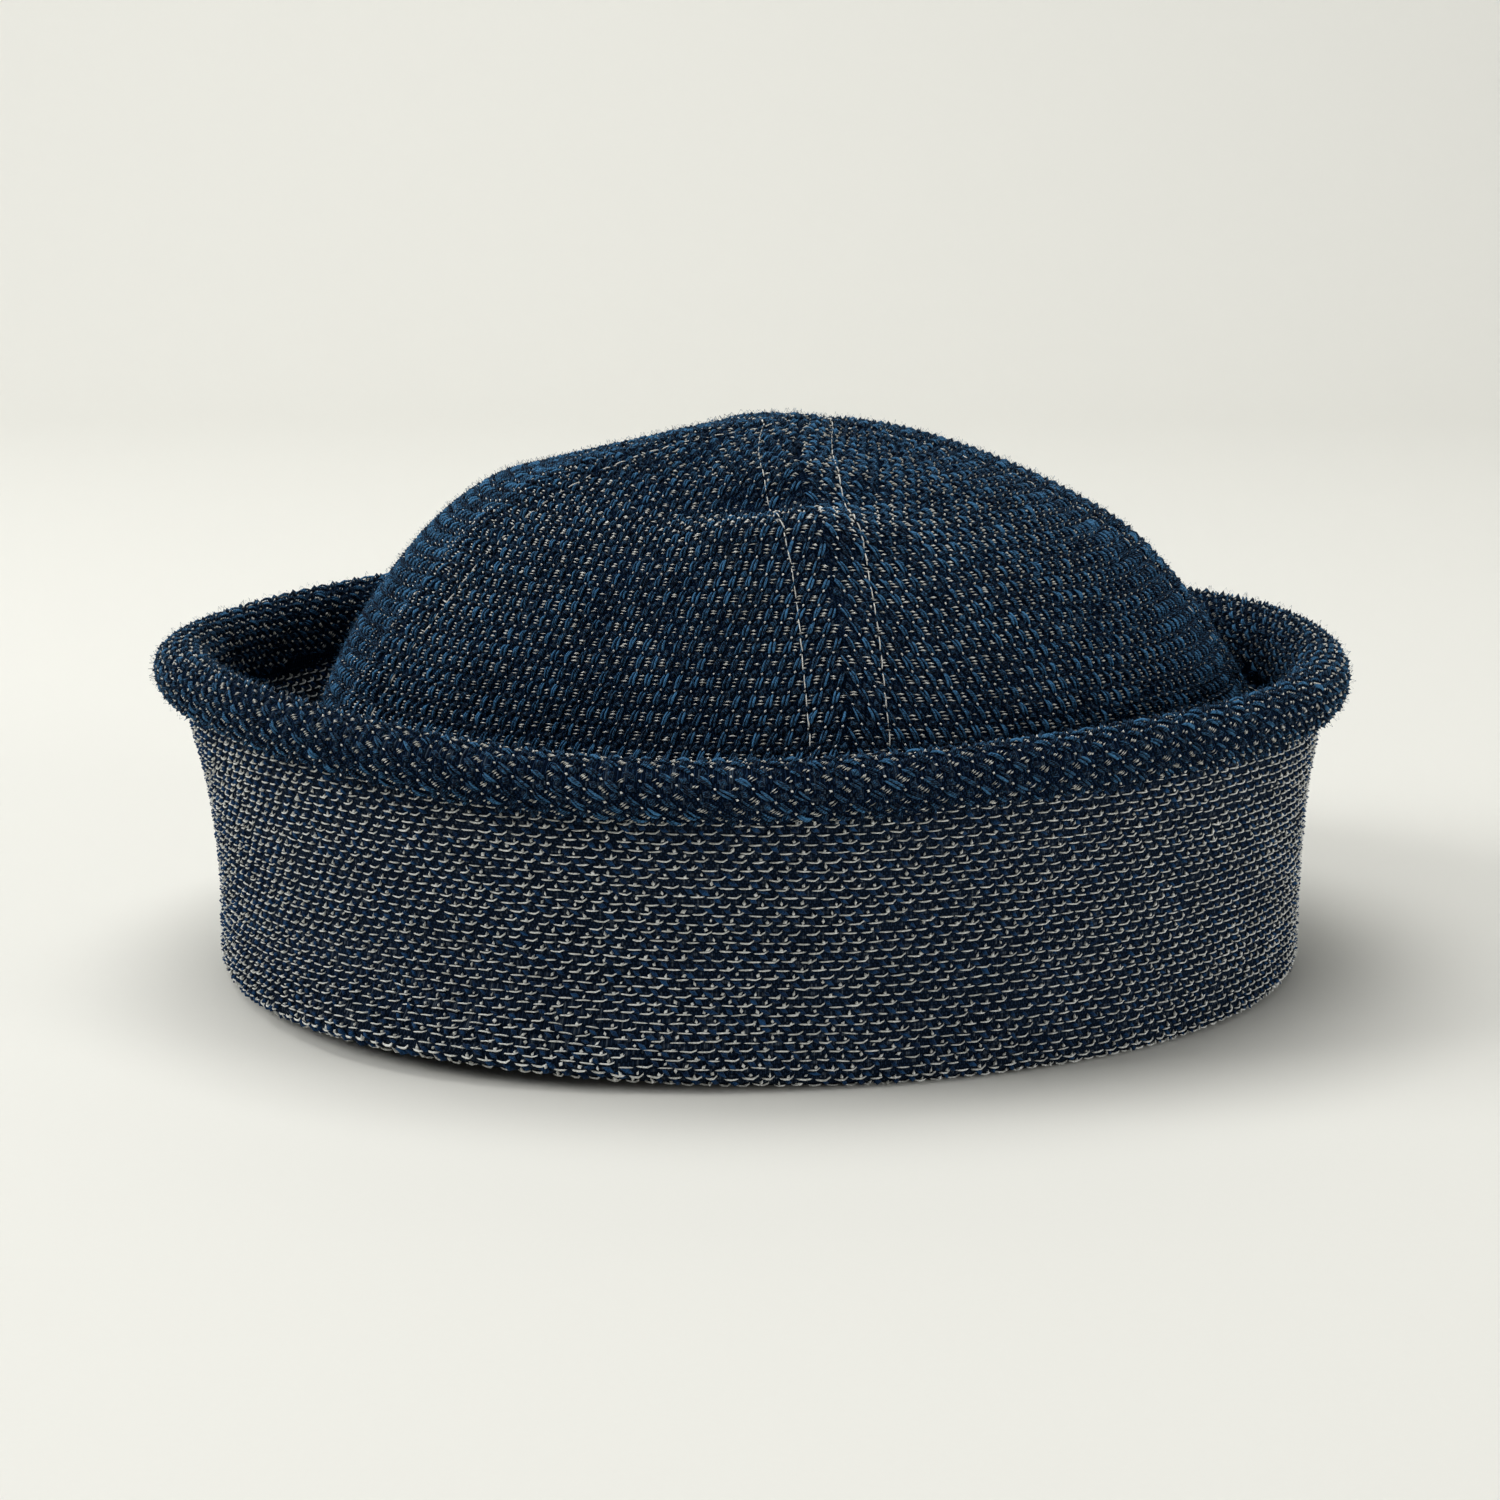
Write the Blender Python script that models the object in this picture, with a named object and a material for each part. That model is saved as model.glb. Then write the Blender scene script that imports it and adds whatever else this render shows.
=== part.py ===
"""Sailor cap: a slack dome of four cloth panels inside a doubled brim that is turned up all round.

The brim's lower ply starts under the dome's edge, folds up at the bottom and flares outwards, and a
fat rolled binding wraps its top edge. The cap rests on z = 0 as it would by itself.

Metres, +Z up. The front of the cap faces -Y. An azimuth is measured from the front, and grows
towards +X. Sections are pairs of radius and height at one azimuth.
"""

import math
from collections import namedtuple

import bmesh
import bpy
from mathutils import Vector

# Driving dimensions
HEAD_DIAMETER = 0.1846  # a head of about 58 cm round
CLOTH = 0.0013
CLEARANCE = 0.0003

CROWN_HEIGHT = 0.0943
CROWN_SHIFT = 0.0070
SEAM_RIDGE = 0.0009
SEAM_RIDGE_WIDTH = 0.0050
DENT_DEPTH = 0.0030

RIM_HEIGHT = 0.0558
RIM_WAVE = 0.0015
RIM_STRETCH = 0.0007
BRIM_FLARE = 0.0042
BRIM_LEAN = 0.0014
FOLD_INSIDE = 0.0010

BINDING_WIDTH = 0.0096
BINDING_PAD = 0.0048
BINDING_TILT = 0.0009
BINDING_OUTER_DROP = 0.0094
BINDING_INNER_DROP = 0.0138

RING_SEGMENTS = 60

# The dome's profile, bottom to top. Heights are shares of CROWN_HEIGHT, radii of the dome's radius
# at its bottom edge, and shifts of CROWN_SHIFT, which is how far the slack dome leans to +X.
ProfileRow = namedtuple("ProfileRow", "height radius shift")
CROWN_PROFILE = (
    ProfileRow(height=0.000, radius=1.000, shift=0.00),
    ProfileRow(height=0.130, radius=0.985, shift=0.15),
    ProfileRow(height=0.270, radius=0.955, shift=0.42),
    ProfileRow(height=0.400, radius=0.911, shift=0.66),
    ProfileRow(height=0.520, radius=0.862, shift=0.60),
    ProfileRow(height=0.630, radius=0.800, shift=0.52),
    ProfileRow(height=0.730, radius=0.727, shift=0.47),
    ProfileRow(height=0.810, radius=0.651, shift=0.39),
    ProfileRow(height=0.870, radius=0.561, shift=0.24),
    ProfileRow(height=0.920, radius=0.455, shift=0.15),
    ProfileRow(height=0.958, radius=0.343, shift=0.21),
    ProfileRow(height=0.985, radius=0.220, shift=0.44),
    ProfileRow(height=0.997, radius=0.105, shift=0.77),
)

# The four seams, in order of azimuth in degrees at the dome's bottom edge, about half way up and at
# its top. The slack panels pull the seams out of true.
SEAM_MIDDLE_LEVEL = 0.45
Seam = namedtuple("Seam", "bottom middle top")
SEAMS = (
    Seam(bottom=6.0, middle=7.5, top=9.0),
    Seam(bottom=98.0, middle=84.0, top=84.0),
    Seam(bottom=186.0, middle=188.0, top=188.0),
    Seam(bottom=280.0, middle=300.5, top=300.0),
)
PANEL_NAMES = (
    "crown_panel_front_right",
    "crown_panel_back_right",
    "crown_panel_back_left",
    "crown_panel_front_left",
)

# Places across a panel from seam to seam, closer together beside the ridged seams.
PANEL_COLUMNS = (0.0, 0.05, 0.13, 0.25, 0.375, 0.5, 0.625, 0.75, 0.87, 0.95, 1.0)

# Soft bumps and hollows of the slack dome: azimuth and spread in degrees, level and reach as shares
# of the way from its bottom edge to its top, and rise as a share of DENT_DEPTH, inwards if negative.
Dent = namedtuple("Dent", "azimuth level spread reach rise")
CROWN_DENTS = (
    Dent(azimuth=-82.0, level=0.74, spread=17.0, reach=0.10, rise=0.30),
    Dent(azimuth=-100.0, level=0.86, spread=30.0, reach=0.09, rise=-1.40),
    Dent(azimuth=-20.0, level=0.70, spread=9.0, reach=0.15, rise=-0.50),
    Dent(azimuth=-3.0, level=0.60, spread=9.0, reach=0.08, rise=0.30),
    Dent(azimuth=8.0, level=0.67, spread=8.0, reach=0.05, rise=0.30),
    Dent(azimuth=8.0, level=0.55, spread=7.0, reach=0.05, rise=-0.40),
    Dent(azimuth=45.0, level=0.73, spread=24.0, reach=0.08, rise=0.40),
    Dent(azimuth=92.0, level=0.66, spread=18.0, reach=0.12, rise=-0.10),
)

# The rim's height around the brim: cosine and sine shares of RIM_WAVE for each count of waves.
Wave = namedtuple("Wave", "count cosine sine")
RIM_WAVES = (
    Wave(count=1, cosine=-0.79, sine=-0.41),
    Wave(count=2, cosine=-1.02, sine=0.07),
    Wave(count=3, cosine=-0.19, sine=-0.25),
    Wave(count=4, cosine=-0.30, sine=0.53),
)

# The brim's wall from the fold up to the lower lip of the binding: height as a share of that
# stretch, and flare as a share of BRIM_FLARE, which is reached at the top edge of the plies.
WallRow = namedtuple("WallRow", "height flare")
WALL_ROWS = (
    WallRow(height=0.00, flare=0.00),
    WallRow(height=0.28, flare=0.03),
    WallRow(height=0.54, flare=0.16),
    WallRow(height=0.78, flare=0.40),
    WallRow(height=1.00, flare=0.76),
)

# The binding's outline, from its outer lip over the crest to its inner lip. Side is a share of
# half its width, and drop of its outer drop where side is positive, or else of its inner drop.
RollPoint = namedtuple("RollPoint", "side drop")
BINDING_ROLL = (
    RollPoint(side=0.50, drop=0.98),
    RollPoint(side=0.86, drop=0.78),
    RollPoint(side=1.00, drop=0.48),
    RollPoint(side=0.88, drop=0.22),
    RollPoint(side=0.52, drop=0.06),
    RollPoint(side=0.00, drop=0.00),
    RollPoint(side=-0.50, drop=0.06),
    RollPoint(side=-0.88, drop=0.22),
    RollPoint(side=-1.00, drop=0.46),
    RollPoint(side=-0.98, drop=0.72),
    RollPoint(side=-0.86, drop=0.93),
)

# Radii at the bottom of the cap, one layer of cloth outside the next
HEAD_RADIUS = HEAD_DIAMETER / 2
CROWN_RADIUS = HEAD_RADIUS + CLOTH
BRIM_RADIUS = CROWN_RADIUS + 2 * (CLOTH + CLEARANCE)
CROWN_BOTTOM = CLOTH + CLEARANCE
FOLD_HEIGHT = CLOTH + FOLD_INSIDE


def place(azimuth, radius, height, centre_x=0.0):
    """A point at this azimuth, given in radians, round a vertical axis at centre_x."""
    return Vector(
        (centre_x + radius * math.sin(azimuth), -radius * math.cos(azimuth), height)
    )


def smooth_row(rows, share):
    """The rows' values at a share from 0, the first row, to 1, the last, on a smooth curve through them."""
    position = max(0.0, min(share, 1.0)) * (len(rows) - 1)
    index = min(int(position), len(rows) - 2)
    part = position - index
    before, start, end, after = (
        rows[max(0, min(index + step, len(rows) - 1))] for step in (-1, 0, 1, 2)
    )
    return [
        b + 0.5 * part * (c - a + part * (2 * a - 5 * b + 4 * c - d + part * (3 * (b - c) + d - a)))
        for a, b, c, d in zip(before, start, end, after)
    ]


def bell(offset):
    """A bump of height 1 that has faded away about two and a half widths from its middle."""
    return math.exp(-(offset**2))


def angle_between(first, second):
    """The signed turn from second to first, in degrees from -180 to 180."""
    return (first - second + 180.0) % 360.0 - 180.0


def seam_azimuth(index, level):
    """The azimuth of a seam in degrees. Index 4 is the first seam after a whole turn."""
    seam = SEAMS[index % len(SEAMS)]
    turn = 360.0 * (index // len(SEAMS))
    straight = seam.bottom + (seam.top - seam.bottom) * level
    bow = seam.middle - seam.bottom - (seam.top - seam.bottom) * SEAM_MIDDLE_LEVEL
    fullness = level * (1.0 - level) / (SEAM_MIDDLE_LEVEL * (1.0 - SEAM_MIDDLE_LEVEL))
    return straight + bow * fullness + turn


def relief(azimuth, level, radius):
    """How far the dome's face stands out of its plain profile: seam ridges, bumps and hollows."""
    rise = 0.0
    for index in range(len(SEAMS)):
        away = math.radians(angle_between(azimuth, seam_azimuth(index, level))) * radius
        rise += SEAM_RIDGE * bell(away / SEAM_RIDGE_WIDTH) * min(1.0, level * 4.0)
    for dent in CROWN_DENTS:
        across = angle_between(azimuth, dent.azimuth) / dent.spread
        along = (level - dent.level) / dent.reach
        rise += DENT_DEPTH * dent.rise * bell(across) * bell(along)
    return rise


def crown_point(azimuth, level):
    """A point of the dome's outer face. Azimuth is in degrees, level from 0 at its edge to 1."""
    height_share, radius_share, shift_share = smooth_row(CROWN_PROFILE, level)
    step = 0.01
    below = smooth_row(CROWN_PROFILE, level - step)
    above = smooth_row(CROWN_PROFILE, level + step)
    span = CROWN_HEIGHT - CROWN_BOTTOM
    radius = CROWN_RADIUS * radius_share
    slope = Vector(((above[0] - below[0]) * span, (below[1] - above[1]) * CROWN_RADIUS))
    outward = slope.normalized() * relief(azimuth, level, radius)
    return place(
        math.radians(azimuth),
        radius + outward.x,
        CROWN_BOTTOM + span * height_share + outward.y,
        BRIM_LEAN + CROWN_SHIFT * shift_share,
    )


def crown_normal(azimuth, level):
    """The outward direction of the dome's outer face."""
    turn = crown_point(azimuth + 0.5, level) - crown_point(azimuth - 0.5, level)
    above = crown_point(azimuth, min(level + 0.01, 1.0))
    below = crown_point(azimuth, max(level - 0.01, 0.0))
    return turn.cross(above - below).normalized()


def seated_normal(azimuth, level, on_seam):
    """The direction through the cloth, kept level at the bottom edge and in the seam's plane at a seam."""
    normal = crown_normal(azimuth, level)
    if level == 0.0:
        normal.z = 0.0
    if on_seam:
        around = place(math.radians(azimuth + 90.0), 1.0, 0.0)
        normal -= around * normal.dot(around)
    return normal.normalized()


def rim_height(azimuth):
    """The height of the binding's crest. The azimuth is in radians."""
    waves = sum(
        wave.cosine * math.cos(wave.count * azimuth) + wave.sine * math.sin(wave.count * azimuth)
        for wave in RIM_WAVES
    )
    return RIM_HEIGHT + RIM_WAVE * waves


def wall_radius(azimuth, flare):
    """The radius of the brim's outer face at a share of its flare. It opens most at the sides."""
    return BRIM_RADIUS + flare * (BRIM_FLARE - RIM_STRETCH * math.cos(2 * azimuth))


def wall_rows(azimuth):
    """(height, flare share) up the brim's outer face, from the top of its fold to the plies' top edge."""
    seat = rim_height(azimuth) - BINDING_INNER_DROP
    rows = [(FOLD_HEIGHT + (seat - FOLD_HEIGHT) * row.height, row.flare) for row in WALL_ROWS]
    return rows + [(rim_height(azimuth) - BINDING_PAD, 1.0)]


def flare_at(azimuth, height):
    """The flare share of the straight stretch of wall inside the binding, at a height."""
    (seat, seat_flare), (top, top_flare) = wall_rows(azimuth)[-2:]
    return seat_flare + (top_flare - seat_flare) * (height - seat) / (top - seat)


def brim_outer_section(azimuth):
    """(radius, height, flare) round the lower ply, from under the dome's edge out and up, and back inside."""
    foot = BRIM_RADIUS - FOLD_HEIGHT
    turns = [math.radians(angle) for angle in (0.0, 30.0, 60.0)]
    outside = [(HEAD_RADIUS, 0.0, 0.0)]
    outside += [
        (foot + FOLD_HEIGHT * math.sin(turn), FOLD_HEIGHT * (1 - math.cos(turn)), 0.0)
        for turn in turns
    ]
    outside += [(wall_radius(azimuth, flare), height, flare) for height, flare in wall_rows(azimuth)]
    turn = math.radians(45.0)
    inside = [
        (HEAD_RADIUS, CLOTH, 0.0),
        (foot, CLOTH, 0.0),
        (foot + FOLD_INSIDE * math.sin(turn), FOLD_HEIGHT - FOLD_INSIDE * math.cos(turn), 0.0),
    ]
    inside += [
        (wall_radius(azimuth, flare) - CLOTH, height, flare) for height, flare in wall_rows(azimuth)
    ]
    return outside + inside[::-1]


def brim_inner_section(azimuth):
    """(radius, height, flare) round the upper ply, which lies against the inside of the lower one."""
    (bottom, flare), *others = wall_rows(azimuth)
    rows = [(bottom + CLEARANCE, flare)] + others
    outer = [(wall_radius(azimuth, flare) - CLOTH - CLEARANCE, height, flare) for height, flare in rows]
    return outer + [(radius - CLOTH, height, flare) for radius, height, flare in outer[::-1]]


def binding_section(azimuth):
    """(radius, height, flare) round the rolled binding, with the slot that takes both plies."""
    crest = rim_height(azimuth)
    plies = 2 * CLOTH + CLEARANCE
    middle = wall_radius(azimuth, 1.0) - plies / 2 + BINDING_TILT

    def slot(height, inwards):
        flare = flare_at(azimuth, height)
        return (wall_radius(azimuth, flare) + CLEARANCE - inwards, height, flare)

    across = plies + 2 * CLEARANCE
    slot_top = crest - BINDING_PAD + CLEARANCE
    roll = [
        (
            middle + point.side * BINDING_WIDTH / 2,
            crest - point.drop * (BINDING_OUTER_DROP if point.side > 0 else BINDING_INNER_DROP),
            1.0,
        )
        for point in BINDING_ROLL
    ]
    return [
        slot(slot_top, 0.0),
        slot(crest - BINDING_OUTER_DROP, 0.0),
        *roll,
        slot(crest - BINDING_INNER_DROP, across),
        slot(slot_top, across),
    ]


def finish(name, mesh_data, material):
    """Turns a bmesh into a named object with outward faces, smooth where its surface is round."""
    bmesh.ops.recalc_face_normals(mesh_data, faces=mesh_data.faces)
    mesh = bpy.data.meshes.new(name)
    mesh_data.to_mesh(mesh)
    mesh_data.free()
    mesh.shade_smooth()
    mesh.set_sharp_from_angle(angle=math.radians(50.0))
    mesh.materials.append(material)
    cap_piece = bpy.data.objects.new(name, mesh)
    bpy.context.scene.collection.objects.link(cap_piece)
    return cap_piece


def make_ring(name, section, material):
    """A closed ring: the section at each azimuth, joined to the next by a band of faces."""
    data = bmesh.new()
    rings = []
    for step in range(RING_SEGMENTS):
        azimuth = 2 * math.pi * step / RING_SEGMENTS
        rings.append(
            [
                data.verts.new(place(azimuth, radius, height, BRIM_LEAN * (1.0 - flare)))
                for radius, height, flare in section(azimuth)
            ]
        )
    for here, there in zip(rings, rings[1:] + rings[:1]):
        for index in range(len(here)):
            after = (index + 1) % len(here)
            data.faces.new((here[index], there[index], there[after], here[after]))
    return finish(name, data, material)


def panel_grid(index):
    """Rows of (outer, inner) points of one panel between its two seams, and its pair of tip points."""
    rows = []
    for step in range(len(CROWN_PROFILE)):
        level = step / (len(CROWN_PROFILE) - 1)
        trim = math.degrees(CLEARANCE / 2 / (CROWN_RADIUS * CROWN_PROFILE[step].radius))
        start = seam_azimuth(index, level) + trim
        end = seam_azimuth(index + 1, level) - trim
        row = []
        for share in PANEL_COLUMNS:
            azimuth = start + (end - start) * share
            outer = crown_point(azimuth, level)
            through = seated_normal(azimuth, level, share in (0.0, 1.0))
            row.append((outer, outer - through * CLOTH))
        rows.append(row)
    middle = (seam_azimuth(index, 1.0) + seam_azimuth(index + 1, 1.0)) / 2
    shift = BRIM_LEAN + CROWN_SHIFT * CROWN_PROFILE[-1].shift
    tip = place(math.radians(middle), CLEARANCE, CROWN_HEIGHT, shift)
    return rows, (tip, tip - Vector((0.0, 0.0, CLOTH)))


def make_panel(index, material):
    """One crown panel, a curved triangle of cloth with its tip at the top of the dome."""
    data = bmesh.new()
    rows, tip = panel_grid(index)
    grid = [[[data.verts.new(point) for point in pair] for pair in row] for row in rows]
    tips = [data.verts.new(point) for point in tip]
    last = len(PANEL_COLUMNS) - 1
    for side in (0, 1):
        for below, above in zip(grid, grid[1:]):
            for column in range(last):
                after = column + 1
                data.faces.new(
                    (below[column][side], below[after][side], above[after][side], above[column][side])
                )
        for column in range(last):
            data.faces.new((grid[-1][column][side], grid[-1][column + 1][side], tips[side]))
    for column in range(last):
        data.faces.new((*grid[0][column], *reversed(grid[0][column + 1])))
    for column in (0, last):
        for below, above in zip(grid, grid[1:]):
            data.faces.new((*below[column], *reversed(above[column])))
        data.faces.new((*grid[-1][column], *reversed(tips)))
    return finish(PANEL_NAMES[index], data, material)


def make_material(name, colour, roughness):
    """A matt cloth finish."""
    material = bpy.data.materials.new(name)
    material.use_nodes = True
    shader = material.node_tree.nodes["Principled BSDF"]
    shader.inputs["Base Color"].default_value = (*colour, 1.0)
    shader.inputs["Roughness"].default_value = roughness
    shader.inputs["Metallic"].default_value = 0.0
    return material


def build_cap():
    """Clears the scene and models the whole cap."""
    for existing in list(bpy.data.objects):
        bpy.data.objects.remove(existing, do_unlink=True)
    face_cloth = make_material("face_cloth", (0.016, 0.034, 0.088), 0.92)
    reverse_cloth = make_material("reverse_cloth", (0.085, 0.105, 0.150), 0.95)
    binding_cloth = make_material("binding_cloth", (0.014, 0.032, 0.082), 0.90)
    for index in range(len(SEAMS)):
        make_panel(index, face_cloth)
    make_ring("brim_outer", brim_outer_section, reverse_cloth)
    make_ring("brim_inner", brim_inner_section, reverse_cloth)
    make_ring("rim_binding", binding_section, binding_cloth)


build_cap()
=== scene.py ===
"""Sailor cap: cloth, yarns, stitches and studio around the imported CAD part.

The dome is four slack gores of thick indigo cotton, face side out. Its brim is two plies of the same
cloth, reverse side out, turned up all round and bound along the top with a padded bias strip. The yarns
that show on the cloth are real geometry, laid on the same surfaces that the CAD part was made from.

Metres, +Z up, front of the cap towards -Y. Azimuths run from the front towards +X. On each face of
cloth, across and along are distances in metres, and lift is the height above it.
"""

import logging
import math
from collections.abc import Callable, Iterator
from contextlib import contextmanager
from dataclasses import dataclass, field
from enum import Enum

import bpy
import numpy as np
from mathutils import Euler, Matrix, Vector


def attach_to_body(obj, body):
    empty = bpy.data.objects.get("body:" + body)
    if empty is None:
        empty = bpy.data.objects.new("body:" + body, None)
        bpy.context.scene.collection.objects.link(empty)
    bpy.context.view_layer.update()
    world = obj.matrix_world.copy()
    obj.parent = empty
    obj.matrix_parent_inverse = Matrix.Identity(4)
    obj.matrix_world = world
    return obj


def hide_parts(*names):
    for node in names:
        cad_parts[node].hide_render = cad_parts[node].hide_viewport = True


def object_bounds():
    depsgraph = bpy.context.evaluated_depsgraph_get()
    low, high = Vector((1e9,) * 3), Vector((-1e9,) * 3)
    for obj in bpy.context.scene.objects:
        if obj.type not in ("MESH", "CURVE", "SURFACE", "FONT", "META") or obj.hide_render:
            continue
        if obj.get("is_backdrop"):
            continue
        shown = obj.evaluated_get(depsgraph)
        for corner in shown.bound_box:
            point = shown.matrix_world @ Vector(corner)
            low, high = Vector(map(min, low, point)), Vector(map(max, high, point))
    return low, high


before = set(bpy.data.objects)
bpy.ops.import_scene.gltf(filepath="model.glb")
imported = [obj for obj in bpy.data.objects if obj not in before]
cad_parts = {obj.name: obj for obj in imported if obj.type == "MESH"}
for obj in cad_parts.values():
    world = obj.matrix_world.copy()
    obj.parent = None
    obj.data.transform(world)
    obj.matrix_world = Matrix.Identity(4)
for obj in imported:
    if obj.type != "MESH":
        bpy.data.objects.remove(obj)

LOG = logging.getLogger("sailor_cap")
BODY = "root"
BAKE_MAP = "OFBake"
CLOTH_MAP = "cloth"
YARN_MAP = "yarn"
SHADE = "shade"

Array = np.ndarray
Colour = tuple[float, float, float]
CAD_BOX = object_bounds()


def smooth_rows(rows: Array, position: Array) -> Array:
    """Reads a table on a smooth curve through its rows.

    Args:
        rows: one row for each whole position.
        position: where to read it, counted in rows.

    Returns:
        The rows' values at each position.
    """
    position = np.clip(position, 0.0, len(rows) - 1.0)
    index = np.minimum(position.astype(int), len(rows) - 2)
    part = (position - index)[..., None]
    a, b, c, d = (rows[np.clip(index + step, 0, len(rows) - 1)] for step in (-1, 0, 1, 2))
    return b + 0.5 * part * (c - a + part * (2 * a - 5 * b + 4 * c - d + part * (3 * (b - c) + d - a)))


def bell(offset: Array) -> Array:
    """A bump of height 1 that has faded away about two and a half widths from its middle."""
    return np.exp(-(offset**2))


def clipped(values: Array) -> Array:
    """The values, held between 0 and 1."""
    return np.clip(values, 0.0, 1.0)


def travelled(*paths: Array) -> Array:
    """The way covered at each point of a path, from its coordinates, starting from 0."""
    return np.concatenate([[0.0], np.cumsum(np.hypot.reduce([np.diff(path) for path in paths]))])


def place(azimuth: Array, radius: Array, height: Array, centre_x: Array) -> Array:
    """Points round a vertical axis at centre_x, from azimuths in radians."""
    x = centre_x + radius * np.sin(azimuth)
    y = -radius * np.cos(azimuth)
    return np.stack(np.broadcast_arrays(x, y, height), axis=-1)


def angle_between(first: Array, second: Array) -> Array:
    """The signed turn from second to first, in degrees from -180 to 180."""
    return (first - second + 180.0) % 360.0 - 180.0


def ripples(across: Array, along: Array, size: float, seed: int) -> Array:
    """A soft, seeded unevenness.

    Args:
        across: distances across the cloth.
        along: distances along it.
        size: the usual length of one ripple, in metres.
        seed: which of the possible patterns.

    Returns:
        Values of about -1 to 1.
    """
    rng = np.random.default_rng(seed)
    total = np.zeros(np.broadcast(across, along).shape)
    for _ in range(6):
        heading = rng.uniform(0.0, 2 * math.pi)
        pitch = 2 * math.pi / (size * rng.uniform(0.7, 1.5))
        way = across * math.cos(heading) + along * math.sin(heading)
        total += np.sin(pitch * way + rng.uniform(0.0, 6.3))
    return total / 2.6


def deselect_all() -> None:
    """Leaves nothing selected, so that an operator acts on the new piece alone."""
    if bpy.context.object and bpy.context.object.mode != "OBJECT":
        bpy.ops.object.mode_set(mode="OBJECT")
    bpy.ops.object.select_all(action="DESELECT")


@contextmanager
def editing() -> Iterator[None]:
    """Edit mode on the active piece, with all of it selected at the start."""
    bpy.ops.object.mode_set(mode="EDIT")
    bpy.ops.mesh.select_all(action="SELECT")
    yield
    bpy.ops.object.mode_set(mode="OBJECT")


def points_of(mesh: bpy.types.Mesh) -> Array:
    """A mesh's points, one a row."""
    flat = np.empty(len(mesh.vertices) * 3)
    mesh.vertices.foreach_get("co", flat)
    return flat.reshape(-1, 3)


def corners_of(mesh: bpy.types.Mesh) -> Array:
    """The point number of each face corner."""
    corners = np.empty(len(mesh.loops), int)
    mesh.loops.foreach_get("vertex_index", corners)
    return corners


def move_points(mesh: bpy.types.Mesh, points: Array) -> None:
    """Puts a mesh's points where these rows say."""
    mesh.vertices.foreach_set("co", points.astype(np.float32).ravel())


def add_map(mesh: bpy.types.Mesh, name: str, spots: Array) -> None:
    """Adds a UV map, with one spot for each face corner."""
    mesh.uv_layers.new(name=name).uv.foreach_set("vector", spots.astype(np.float32).ravel())


def map_cloth(mesh: bpy.types.Mesh, across: Array, along: Array) -> None:
    """Makes the cloth map a mesh's only map, from each face corner's distances in metres."""
    while mesh.uv_layers:
        mesh.uv_layers.remove(mesh.uv_layers[0])
    add_map(mesh, CLOTH_MAP, np.stack([across, along], axis=-1))


def smooth_faces(mesh: bpy.types.Mesh) -> None:
    """Shades a mesh smooth, and keeps its folded edges sharp."""
    mesh.shade_smooth()
    mesh.set_sharp_from_angle(angle=math.radians(60.0))


@dataclass(frozen=True)
class CapSizes:
    """The sizes that the dome and the brim share, as in the CAD part."""

    head_diameter: float = 0.1846
    cloth: float = 0.0013
    clearance: float = 0.0003
    brim_lean: float = 0.0014
    fold_inside: float = 0.0010

    @property
    def head_radius(self) -> float:
        """The inside radius at the cap's mouth."""
        return self.head_diameter / 2

    @property
    def plies(self) -> float:
        """The thickness of the brim's two plies and the gap between them."""
        return 2 * self.cloth + self.clearance

    @property
    def crown_radius(self) -> float:
        """The dome's outer radius at its bottom edge."""
        return self.head_radius + self.cloth

    @property
    def brim_radius(self) -> float:
        """The brim's outer radius at its bottom fold."""
        return self.crown_radius + 2 * (self.cloth + self.clearance)

    @property
    def crown_bottom(self) -> float:
        """The height of the dome's bottom edge."""
        return self.cloth + self.clearance

    @property
    def fold_height(self) -> float:
        """The outer radius of the brim's bottom fold."""
        return self.cloth + self.fold_inside


class ClothFace:
    """A face of cloth that yarns can be laid on, with distances across and along it."""

    STEP = 0.0004

    def point(self, across: Array, along: Array) -> Array:
        """Points of the face itself."""
        raise NotImplementedError

    def lifted(self, across: Array, along: Array, lift: Array) -> Array:
        """Points above the face.

        Args:
            across: distances across the cloth.
            along: distances along it.
            lift: heights above it.

        Returns:
            One point for each, in the last axis.
        """
        step = self.STEP
        turn = self.point(across + step, along) - self.point(across - step, along)
        climb = self.point(across, along + step) - self.point(across, along - step)
        normal = np.cross(turn, climb)
        normal /= np.maximum(np.linalg.norm(normal, axis=-1, keepdims=True), 1e-12)
        return self.point(across, along) + normal * np.asarray(lift)[..., None]


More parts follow.
